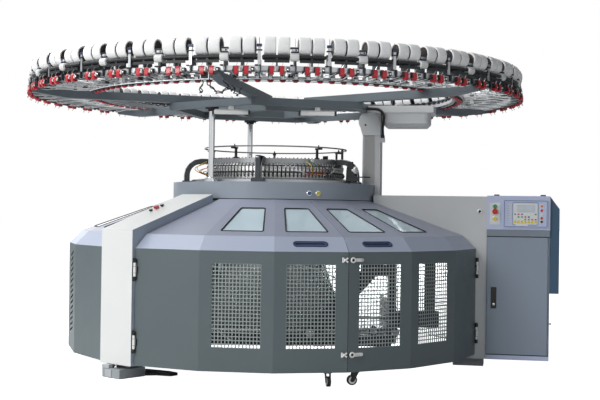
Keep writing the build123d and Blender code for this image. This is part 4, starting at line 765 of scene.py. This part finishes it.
# Wires in several colours round the head, on both sides: their angle, rise and lean
WIRES = (
    (24, 60, 16), (27, 84, -10), (30, 40, 20), (33, 96, -22), (36, 30, 14), (40, 70, -18), (44, 52, 22),
    (-66, 58, 12), (-70, 84, -12), (-74, 40, 16), (-60, 30, -14), (-78, 70, 10), (-55, 50, 12), (22, 26, -26),
)
WIRE_LOOKS = ("red", "yellow", "red", "green", "orange", "black", "pale")
wires = Piece()
for index, (angle, rise, lean) in enumerate(WIRES):
    low = 1325 + (index * 7) % 16
    bend = 22 + (index * 5) % 14
    path = []
    for k in range(11):
        u = k / 10
        wave = sin(u * 9 + index) * 6
        path.append((520 + bend * sin(u * pi) * 2.4, lean * (u * 2 - 0.6) * 2 + wave, low + rise * u * 1.2))
    wires.pipe(at(angle), path, 2.6, WIRE_LOOKS[index % 7], 6)
wires.make("head_wires", "cable_rubber")

# Bezels of the two buttons on the bed's rim
BED_R, BED_BUTTON_Z = 751, 1205
bezels = Piece()
for angle in (18, 23):
    bezels.turned(at(angle, BED_R, 0, BED_BUTTON_Z) @ FACE_OUT, [
        (14, -3), (19, -3), (19, 4), (17, 6), (14, 6),
    ], "chrome", 28, True)
bezels.make("bed_button_bezels", "chrome")

# Guard and doors: flat facets of 18 degrees, with a wall, a band and a roof
FACET = 18
HALF_FACET = radians(FACET / 2)
COVER_R, BAND_R, ROOF_R = 1495, 1405, 760
WALL_Z, BAND_Z, ROOF_Z = 835, 925, 1160
APOTHEM = COVER_R * cos(HALF_FACET)
WINDOW_Z = 497
# The gap between the doors, the facets on both sides of it, and the facet with the vent
SEAM_ANGLE, LEFT_FACET, RIGHT_FACET, VENT_ANGLE = 18, 9, 27, -84
# Ends of a roof window: share of the slope, and distance from the facet's side edge
WINDOW_LOW, WINDOW_HIGH = (0.12, 73), (0.74, 66)


def slope_frame(angle, low_r, low_z, high_r, high_z):
    """Frame of a sloped facet with x along its lower edge, y up the slope and z out, and the slope's length."""
    run, rise = low_r - high_r, high_z - low_z
    size = hypot(run, rise)
    tilt = Matrix((
        (0, -run / size, rise / size, low_r),
        (1, 0, 0, 0),
        (0, rise / size, run / size, low_z),
        (0, 0, 0, 1),
    ))
    return at(angle) @ tilt, size


def roof_frame(angle):
    """Frame of a roof facet, and the slope's length."""
    return slope_frame(angle, BAND_R * cos(HALF_FACET), BAND_Z, ROOF_R * cos(HALF_FACET), ROOF_Z)


def rounded_outline(corners, radius, steps=5):
    """Outline of points round a polygon with its corners rounded, in its own plane."""
    out = []
    for i, corner in enumerate(corners):
        here = Vector(corner)
        before = (Vector(corners[i - 1]) - here).normalized()
        after = (Vector(corners[(i + 1) % len(corners)]) - here).normalized()
        reach = radius / tan(before.angle(after) / 2)
        start, end = here + before * reach, here + after * reach
        for k in range(steps + 1):
            u = k / steps
            out.append(start * (1 - u) ** 2 + here * 2 * u * (1 - u) + end * u ** 2)
    return [(p.x, p.y) for p in out]


def rounded_box(low, high, radius):
    """Outline of a rectangle with rounded corners."""
    return rounded_outline([low, (high[0], low[1]), high, (low[0], high[1])], radius)


def lifted(outline, height):
    """Points of an outline at a height over its plane."""
    return [(x, y, height) for x, y in outline]


def window_outline(grow):
    """Outline of a roof window in the facet's frame, grown by an amount."""
    size = roof_frame(0)[1]
    low_half, high_half = BAND_R * sin(HALF_FACET), ROOF_R * sin(HALF_FACET)
    low, high = (
        low_half + (high_half - low_half) * share - inset + grow for share, inset in (WINDOW_LOW, WINDOW_HIGH)
    )
    low_y, high_y = size * WINDOW_LOW[0] - grow, size * WINDOW_HIGH[0] + grow
    return rounded_outline([(-low, low_y), (low, low_y), (high, high_y), (-high, high_y)], 14 + grow)


def gasket(piece, facet, height):
    """Rubber bead round a roof window."""
    piece.pipe(facet, lifted(window_outline(1), height), 4.2, "rubber", 8, True)


for door, angles in (
    ("left_door", (LEFT_FACET - FACET, LEFT_FACET)), ("right_door", (RIGHT_FACET, RIGHT_FACET + FACET)),
):
    mesh_sheets, gaskets = Piece(), Piece()
    for angle in angles:
        mesh_sheets.perforated(at(angle, APOTHEM - 4.3, 0, WINDOW_Z), 310, 520, 14, 22, 6.6, 3, "mesh")
        gasket(gaskets, roof_frame(angle)[0], 0.5)
    mesh_sheets.make(door + "_perforated_sheets", "mesh_steel", body=door, replaces=[door + "_grilles"])
    gaskets.make(door + "_window_gaskets", "window_glass", body=door)

# Windows let into the roofs of the two fixed sectors, dark from outside: their dark panes are painted shade of the
# inside
for guard, centre in (("left_guard", -102), ("rear_guard", 138)):
    fixed = Piece()
    for step in range(6):
        facet = roof_frame(centre + FACET * (step - 2.5))[0]
        fixed.prism(facet, window_outline(-2), 0.4, 1.4, "shaded_pane")
        gasket(fixed, facet, 0.8)
    fixed.make(guard + "_roof_windows", "window_glass")

# Slanted blades of the vent in the left sector, black as painted shade of the slots, and a black sheet behind them as
# painted shade
vent = Piece()
for step in range(15):
    blade = at(VENT_ANGLE, APOTHEM, 0, WINDOW_Z - 266 + 38 * step) @ turn_x(12)
    vent.blocks(blade, (-7, 1.2, -104, 104, -13, 13, "black"))
vent.blocks(at(VENT_ANGLE, APOTHEM, 0, WINDOW_Z), (-12, -8, -112, 112, -290, 290, "black"))
vent.make("left_guard_vent", "panel_paint", edge=0.8)

# Dark rubber strips as painted shade: one that fills the gap between the doors, and a ring under the bed's rim
door_gap_shade = Piece()
door_gap_shade.prism(at(SEAM_ANGLE) @ ON_SIDE, [
    (1492, 96), (1492, 833), (1403, 922), (762, 1157), (762, 1145), (1397, 910), (1474, 828), (1474, 96),
], -1.4, 1.95, "rubber")
door_gap_shade.make("door_gap_painted_shade", "window_glass", body="left_door")
bed_rim_shade = Piece()
bed_rim_shade.collar(WORLD, (738, 752), (1150, 1164.8), "rubber", 120)
bed_rim_shade.make("bed_rim_painted_shade", "window_glass")

# Rims of the pull handles: round ends 87.5 off the middle of the band
HANDLE_REACH, HANDLE_R = 87.5, 19
for door, angle in (("left_door", LEFT_FACET), ("right_door", RIGHT_FACET)):
    band, size = slope_frame(angle, APOTHEM, WALL_Z, BAND_R * cos(HALF_FACET), BAND_Z)
    band = band @ move(0, size / 2, 0)
    path = []
    for end in (1, -1):
        for k in range(9):
            a = radians(-90 * end + 180 * k / 8)
            path.append((end * HANDLE_REACH + HANDLE_R * cos(a), HANDLE_R * sin(a), 2))
    rims = Piece()
    rims.pipe(band, path, 3.6, "navy", 8, True)
    rims.pipe(band, [(x * 0.93, y * 0.62, 1) for x, y, z in path], 1.6, "lip", 6, True)
    rims.make(door + "_handle_rim", "handle_plastic", body=door)

# Latch keepers on the left door, and ribs on the latches
LATCHES = {"lower_latch": 200, "upper_latch": 785}
keepers = Piece()
for height in LATCHES.values():
    here = at(LEFT_FACET, APOTHEM, 209, height)
    for turn in (38, -38):
        keepers.blocks(here @ turn_x(turn), (9, 15, -22, 22, -5, 5, "ceramic"))
    keepers.blocks(here, (9, 13, -20, -12, -16, 16, "ceramic"))
    keepers.capped(here @ FACE_OUT, [(6, 14), (6, 18), (3, 19)], "chrome", 14)
keepers.make("latch_keeper_castings", "chrome", body="left_door", edge=1)
for name, height in LATCHES.items():
    ribs = Piece()
    here = at(RIGHT_FACET, APOTHEM, -209.9, height)
    for k in range(6):
        ribs.blocks(here, (12, 17, 22 + k * 6.5, 25.5 + k * 6.5, -9, 9, "ceramic"))
    ribs.turned(here @ FACE_OUT, [(10, 12), (18, 12), (18, 18), (16, 20), (12, 20), (10, 18)], "ceramic", 28, True)
    ribs.capped(here @ FACE_OUT, [(8, 12), (8, 17), (6, 18)], "dark", 20)
    ribs.make(name + "_ribs", "chrome", body=name, edge=0.6)

# Hinge plates and sleeves: dark ends on the frame, and a pale middle on the door
HINGE_HEIGHTS = 240, 699
PIN_R, PIN_SHIFT, SLEEVE_R = 1498, 163, (8.2, 9.4)
hinges = {"left_door": Piece(), "right_door": Piece(), "frame": Piece()}
for door, angle, side in (("left_door", LEFT_LEG, 1), ("right_door", CABINET_ANGLE, -1)):
    here = at(angle)
    for height in HINGE_HEIGHTS:
        near, far = sorted((side * 150.5, side * 155.5))
        hinges["frame"].blocks(here, (1482, 1506, near, far, height - 72, height + 72, "dark"))
        for end in (-56, 56):
            knuckle = here @ move(PIN_R, side * PIN_SHIFT, height + end)
            hinges["frame"].collar(knuckle, SLEEVE_R, (-12, 12), "black", 20)
        hinges[door].collar(here @ move(PIN_R, side * PIN_SHIFT, height), SLEEVE_R, (-20, 20), "ceramic", 20)
        near, far = sorted((side * 170.5, side * 176))
        hinges[door].blocks(here, (1474, 1494, near, far, height - 21, height + 21, "dark"))
hinges["frame"].make("hinge_plates", "hinge_steel", edge=0.8)
for door in ("left_door", "right_door"):
    hinges[door].make(door + "_hinge_plates", "hinge_steel", body=door, edge=0.8)

# Bright rims on the caster wheels: centre and heading of each wheel
for wheel, x, y, heading in (
    ("left_caster_wheel", 344.753, -1410.43, 10), ("right_caster_wheel", 495.582, -1336.995, -80),
):
    rim = Piece()
    axle = move(x, y, 33) @ Matrix.Rotation(radians(heading), 4, "Z") @ FACE_OUT
    for face in (-1, 1):
        rim.collar(axle, (12, 23), (face * 11.1, face * 12.3), "ceramic", 28)
        rim.collar(axle, (5.2, 9), (face * 11.1, face * 13.2), "steel", 20)
    rim.make(wheel + "_rims", "wheel_rubber", body=wheel)

cabinet = at(CABINET_ANGLE)


def on_front(radius, height, depth):
    """Frame on the cabinet's front with z towards the operator."""
    return cabinet @ move(radius, depth, height) @ ON_SIDE


# Foot details of the left leg, bolts of all feet and the lock in the drive housing
feet = Piece()
feet.blocks(at(LEFT_LEG), (1546, 1550, -52, 8, 6, 54, "alloy"), (1480, 1546, -86.5, -20, 61, 82, "alloy"))
feet.prism(at(LEFT_LEG), [
    (1326, -70), (1326, 70), (1262, 120), (1222, 212), (1160, 212), (1150, 120), (1190, -60),
], 0.5, 20, "dark")
for angle in LEG_ANGLES:
    feet.capped(at(angle, 1500, 0, 60.3), [(17, 0), (17, 10), (9, 12), (9, 22)], "steel", 6)
lock = on_front(1510, 1097, -150.2)
feet.turned(lock, [(10, 0), (17, 0), (17, 5), (14, 8), (10, 8)], "chrome", 24, True)
feet.capped(lock, [(10, 0), (10, 4)], "dark", 20)
feet.make("foot_fittings", "leg_paint", edge=1)

# Cabinet: display, keys, lamps and marks on the keypad
KEY_PITCH = 23.4
KEY_LOOKS = ("green", "pale", "red", "pale", "blue_cap", "green", "pale")
panel = Piece()
plate = on_front(0, 0, -181)
panel.prism(plate, rounded_box((1744, 1012), (1908, 1158), 10), 0.2, 1.2, "white")
panel.prism(plate, rounded_box((1760, 1001), (1846, 1020), 6), 0.2, 1.3, "white")
panel.blocks(
    cabinet,
    (1768, 1892, -183.4, -182.2, 1096, 1146, "lilac"), (1774, 1886, -184, -183.3, 1103, 1139, "lcd"),
)
key_middles = [1756 + column * KEY_PITCH for column in range(7)]
for row, height in enumerate((1082, 1063, 1045)):
    for column, middle in enumerate(key_middles):
        look = KEY_LOOKS[(column * 2 + row * 3) % 7]
        panel.blocks(cabinet, (middle - 6, middle + 6, -184, -182.2, height - 4.5, height + 4.5, look))
for middle in key_middles:
    panel.blocks(cabinet, (middle - 8, middle + 8, -184.4, -182.2, 1020, 1036, "yellow"))
for height, look in ((1140, "orange"), (1110, "red"), (1080, "white"), (1055, "red"), (1031, "black")):
    here = on_front(1938, height, -181)
    panel.collar(here, (9.5, 12), (0, 2.6), "chrome", 22)
    panel.capped(here, [(9, 0), (9, 3.5), (7.5, 5)], look, 22)
for row in range(11):
    height = 1148 - row * 11.6
    panel.blocks(
        cabinet,
        (1700, 1728, -181.6, -181.1, height - 1.4, height + 1.4, "white"),
        (1700, 1716, -181.6, -181.1, height - 5.4, height - 3.6, "grey"),
    )
for depth, low, high, radius, thick in (
    (-184.1, (1681, 995), (1974, 1176), 5, 1.8), (-181.2, (1738, 1006), (1914, 1164), 12, 1.2),
):
    outline = lifted(rounded_box(low, high, radius), 0)
    panel.pipe(on_front(0, 0, depth), outline, thick, "blue_cap", 6, True)
panel.make("keypad_keys", "keypad_frame")

# Strips across the cabinet, top lugs, knob on its side and rings round the push buttons
trim = Piece()
for front, back, low, high, look in (
    (-151.2, -149.6, 921, 926, "dark"), (-170, -149.8, 926.5, 970.5, "strip"), (-160, -149.6, 970.5, 972, "dark"),
    (-151, -149.6, 93, 99, "dark"), (-163, -149.6, 61, 92, "lilac"),
):
    trim.blocks(cabinet, (1562, 1996, front, back, low, high, look))
for middle in (1628, 1947):
    trim.blocks(cabinet, (middle - 18, middle + 18, -168, -150, 1210, 1219, "bracket"))
trim.capped(cabinet @ move(1996.7, -132, 318) @ FACE_OUT, [
    (6, 0), (6, 8), (9, 9), (9, 15), (6, 17),
], "chrome", 18)
for height, inner, outer, look in (
    (1135, 13.4, 14.9, "chrome"), (1099, 19.4, 20.9, "yellow"), (1049, 13.4, 17, "chrome"),
):
    trim.turned(on_front(1617, height, -178.1), [
        (inner, 0), (outer, 0), (outer, 3), (outer - 0.6, 4.2), (inner, 4.5),
    ], look, 30, True)
trim.make("cabinet_trim", "cabinet_paint", edge=0.8)
lock_piece = Piece()
lock = on_front(1613.5, 448, -168.4)
lock_piece.capped(lock, [(9, 0), (9, 2.5), (6.5, 4)], "chrome", 22)
lock_piece.blocks(lock, (-1.2, 1.2, -5, 5, 4, 4.6, "black"))
lock_piece.make("handle_lock", "chrome", body="cabinet_handle")

# Fabric tube: its height and half widths in x and y, from the needles down to the nip
RINGS = [
    (1390, 404, 404), (1360, 403, 403), (1300, 401, 401), (1200, 398, 398), (1100, 395, 395), (1000, 392, 392),
    (900, 389, 389), (800, 387, 387), (700, 385, 385), (640, 398, 338), (580, 418, 292), (520, 442, 243),
    (460, 472, 192), (400, 508, 141), (340, 548, 90), (290, 584, 48), (240, 618, 9), (215, 619, 2.5), (186, 619, 1.5),
]
AROUND = 192
points, faces = [], []
for index, (height, wide, deep) in enumerate(RINGS):
    fold = min(1, max(0, (760 - height) / 400)) * min(1, deep / 120)
    for k in range(AROUND):
        a = 2 * pi * k / AROUND
        ripple = 1 - 0.012 * fold * (1 + sin(a * 22 + index * 0.3)) - 0.006 * fold * (1 + sin(a * 9 + 1))
        points.append((wide * cos(a) * ripple, deep * sin(a) * ripple, height))
for row in range(len(RINGS) - 1):
    for k in range(AROUND):
        m = (k + 1) % AROUND
        a, b = row * AROUND, (row + 1) * AROUND
        faces.append((b + k, b + m, a + m, a + k))
fabric_mesh = Piece()
fabric_mesh.add(WORLD, points, faces, "cloth")
tube = fabric_mesh.make("fabric_tube", "knit_cloth", body="rotor", replaces=["fabric"], angle=80)
smooth = tube.modifiers.new("soft", "SUBSURF")
smooth.levels = smooth.render_levels = 1

# Cloth wound on its shaft, with the turns seen on its ends
SHAFT_R, TURN_R, TURNS = 34, 7.2, 7
ends = [(0, 650), (SHAFT_R, 650), (SHAFT_R, 648)]
for turn in range(1, TURNS + 1):
    ends += [(SHAFT_R + turn * TURN_R, 649 - (turn % 2) * 1.5), (SHAFT_R + turn * TURN_R + 3.6, 647.5)]
ends += [(88.5, 648), (89.7, 640)]
batch = Piece()
along_x = move(0, 290, 270) @ FACE_OUT
batch.turned(along_x, mirrored(ends, [(90, 0)]), "cloth", 48)
batch.capped(along_x, mirrored([(15, 848)]), "steel", 20)
for heights in ((-655, -649), (649, 655)):
    batch.collar(along_x, (15, 33), heights, "core", 32)
batch.make("cloth_batch", "knit_cloth", body="cloth_roll", replaces=["cloth_roll"])

# Take-down unit: two belt wheels with their holders, a disc, a cover, a pale bar and bolts
gear = Piece()
for x, z in ((724, 222), (872, 218)):
    wheel = move(x, -262, z) @ ON_SIDE
    gear.turned(wheel, [(22, -6), (34, -6), (36, -3), (36, 13), (34, 16), (22, 16)], "black", 28, True)
    gear.capped(wheel, [(22, -4), (22, 12), (10, 12), (10, 18)], "alloy", 28)
    gear.blocks(WORLD, (x - 13, x + 13, -262, -242, z + 4, 262, "takedown"))
gear.capped(move(262, -262, 205) @ ON_SIDE, [(30, 0), (30, 12), (26, 15), (10, 15), (10, 20)], "ceramic", 28)
gear.blocks(WORLD, (300, 380, -268, -242, 110, 190, "takedown"))
gear.prism(move(0, -264, 0) @ ON_SIDE, [(-470, 262), (-462, 270), (-300, 152), (-308, 143)], -3, 3, "white")
for side in (-1, 1):
    for z in (818, 232):
        for reach in (868, 892):
            bolt = move(side * reach, -55.2, z) @ ON_SIDE
            gear.capped(bolt, [(9, 0), (9, 6)], "steel", 6)
gear.make("takedown_fittings", "takedown_paint", body="rotor", edge=0.8)

# Thin pale hose that hangs in front of the fabric
hose = Piece()
hose.pipe(WORLD, [
    (150, -470, 704), (220, -476, 694), (300, -480, 672), (370, -478, 646), (440, -470, 610),
], 5, "white", 8)
hose.make("oil_line", "takedown_paint", body="rotor")

# Top frame: collars of the two posts, and end caps and reflectors of the tube lamps
tops = Piece()
for angle in (LEFT_LEG, REAR_LEG):
    post = at(angle, 670)
    tops.collar(post, (22, 47), (1785.5, 1799.9), "black", 32)
    tops.collar(post, (21.4, 30), (1772, 1785), "black", 32)
    tops.turned(post, [(21.4, 1294), (31, 1294), (31, 1306), (25, 1312), (21.4, 1312)], "chrome", 32, True)
for middle in (-310, 285):
    for end in (-124, 124):
        tops.blocks(move(middle + end, -615, 1757), (-7, 7, -19, 19, -14.5, 14.5, "dark"))
    tops.blocks(move(middle, -615, 1774), (-112, 112, -20, 20, -2, 2.5, "alloy"))
# Sunk panel and bolt of the feeder column, and the end fitting of its cable
tops.prism(on_front(0, 0, -65), [(674, 1287), (748, 1287), (748, 1640), (674, 1640)], 0.2, 1.2, "putty")
tops.capped(on_front(681, 1715, -76), [(7, 0), (7, 3), (4, 5)], "black", 16)
tops.turned(at(CABINET_ANGLE, 805, -48, 1620), [
    (10.6, 0.4), (14.5, 0.4), (14.5, 10), (12.5, 22), (10.6, 24),
], "black", 24, True)
# Box at the end of the front left arm, and cables with their start, end and drop
arm_end = at(-12)
tops.blocks(
    arm_end,
    (1728, 1768, -82, -38, 1858, 1900, "dark"), (1766, 1771, -88, -34, 1854, 1860, "alloy"),
    (1766, 1771, -88, -34, 1898, 1904, "alloy"), (1766, 1771, -88, -82, 1854, 1904, "alloy"),
    (1766, 1771, -38, -32, 1854, 1904, "alloy"),
)
for index, (start, end, drop) in enumerate((
    ((1752, -80, 1860), (1640, -120, 1846), 62), ((1748, -44, 1860), (1560, 34, 1856), 70),
    ((1740, -60, 1860), (1480, 30, 1852), 54), ((1690, 38, 1872), (1380, 37, 1862), 46),
    ((1500, 37, 1870), (1250, 40, 1860), 58),
)):
    path = []
    for k in range(17):
        u = k / 16
        spot = Vector(start) * (1 - u) + Vector(end) * u
        sag = 4 * u * (1 - u) * drop
        path.append((spot.x, spot.y + 9 * sin(u * 21 + index), spot.z - sag + 5 * cos(u * 21 + index) - 5))
    tops.pipe(arm_end, path, 3.4, "rubber", 7)
tops.make("top_fittings", "frame_paint", edge=0.8)

# Floor, white to the camera
floor_mesh = bpy.data.meshes.new("floor")
floor_mesh.from_pydata([(-60, -60, 0), (60, -60, 0), (60, 60, 0), (-60, 60, 0)], [], [(0, 1, 2, 3)])
floor_material, tree, shader = new_material("floor")
feed(shader, {
    "Base Color": mix(tree, noise(tree, 0.8, 2), (0.80, 0.80, 0.80, 1), (0.82, 0.82, 0.82, 1)),
    "Roughness": 0.75, "Emission Color": (1, 1, 1, 1),
    "Emission Strength": node(tree, "LightPath").outputs["Is Camera Ray"],
})
floor_mesh.materials.append(floor_material)
add_object("floor", floor_mesh)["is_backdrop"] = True

# World: white to the camera, and a soft room that is brighter on the left than on the right.
# Polished metal sees a bright room in front and a dark one behind.
world = bpy.data.worlds.new("world")
world.use_nodes = True
bpy.context.scene.world = world
tree = world.node_tree
tree.nodes.clear()
towards = node(tree, "SeparateXYZ", {"Vector": node(tree, "TexCoord").outputs["Generated"]}).outputs
rays = node(tree, "LightPath").outputs
room = between(tree, towards["Y"], 0.05, 0.75, 0.5, -0.7)
shown = maths(
    tree, "MAXIMUM",
    maths(tree, "MAXIMUM", rays["Is Camera Ray"], rays["Is Transmission Ray"]),
    maths(tree, "MULTIPLY", rays["Is Glossy Ray"], room),
)
ambient = node(tree, "Background", {
    "Color": (0.93, 0.96, 1.0, 1), "Strength": between(tree, towards["X"], 0.56, 0.03, -0.9, 0.9),
})
white = node(tree, "Background", {"Color": (1, 1, 1, 1), "Strength": 1.0})
blend = node(tree, "MixShader", {"Fac": shown, 1: ambient.outputs["Background"], 2: white.outputs["Background"]})
node(tree, "OutputWorld", {"Surface": blend.outputs["Shader"]})


def soft_light(name, place, aim, size, power, colour=(1, 1, 1)):
    """Large square lamp that points at a place."""
    data = bpy.data.lights.new(name, "AREA")
    data.size = size
    data.energy = power
    data.color = colour
    lamp = add_object(name, data)
    lamp.location = place
    lamp.rotation_mode = "QUATERNION"
    lamp.rotation_quaternion = (Vector(aim) - Vector(place)).to_track_quat("-Z", "Y")
    lamp.visible_camera = False


soft_light("key", (-6.5, -7.5, 5.5), (0, -0.5, 1.0), 4.5, 470, (1, 0.99, 0.97))
soft_light("fill", (5.0, -8.0, 3.0), (0.6, 0, 1.0), 5.0, 22, (0.9, 0.95, 1.0))
soft_light("top", (-3.6, 0.2, 5.6), (0, 0, 1.2), 4.5, 235)
soft_light("back", (-3.0, 7.5, 4.0), (0, 0, 1.2), 5.0, 130)
soft_light("inside", (0.75, 0.45, 0.82), (0.95, 1.4, 0.45), 0.3, 17)
soft_light("front_inside", (-0.2, -0.85, 0.86), (-0.05, 0.0, 0.5), 0.25, 1.0)

low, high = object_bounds()
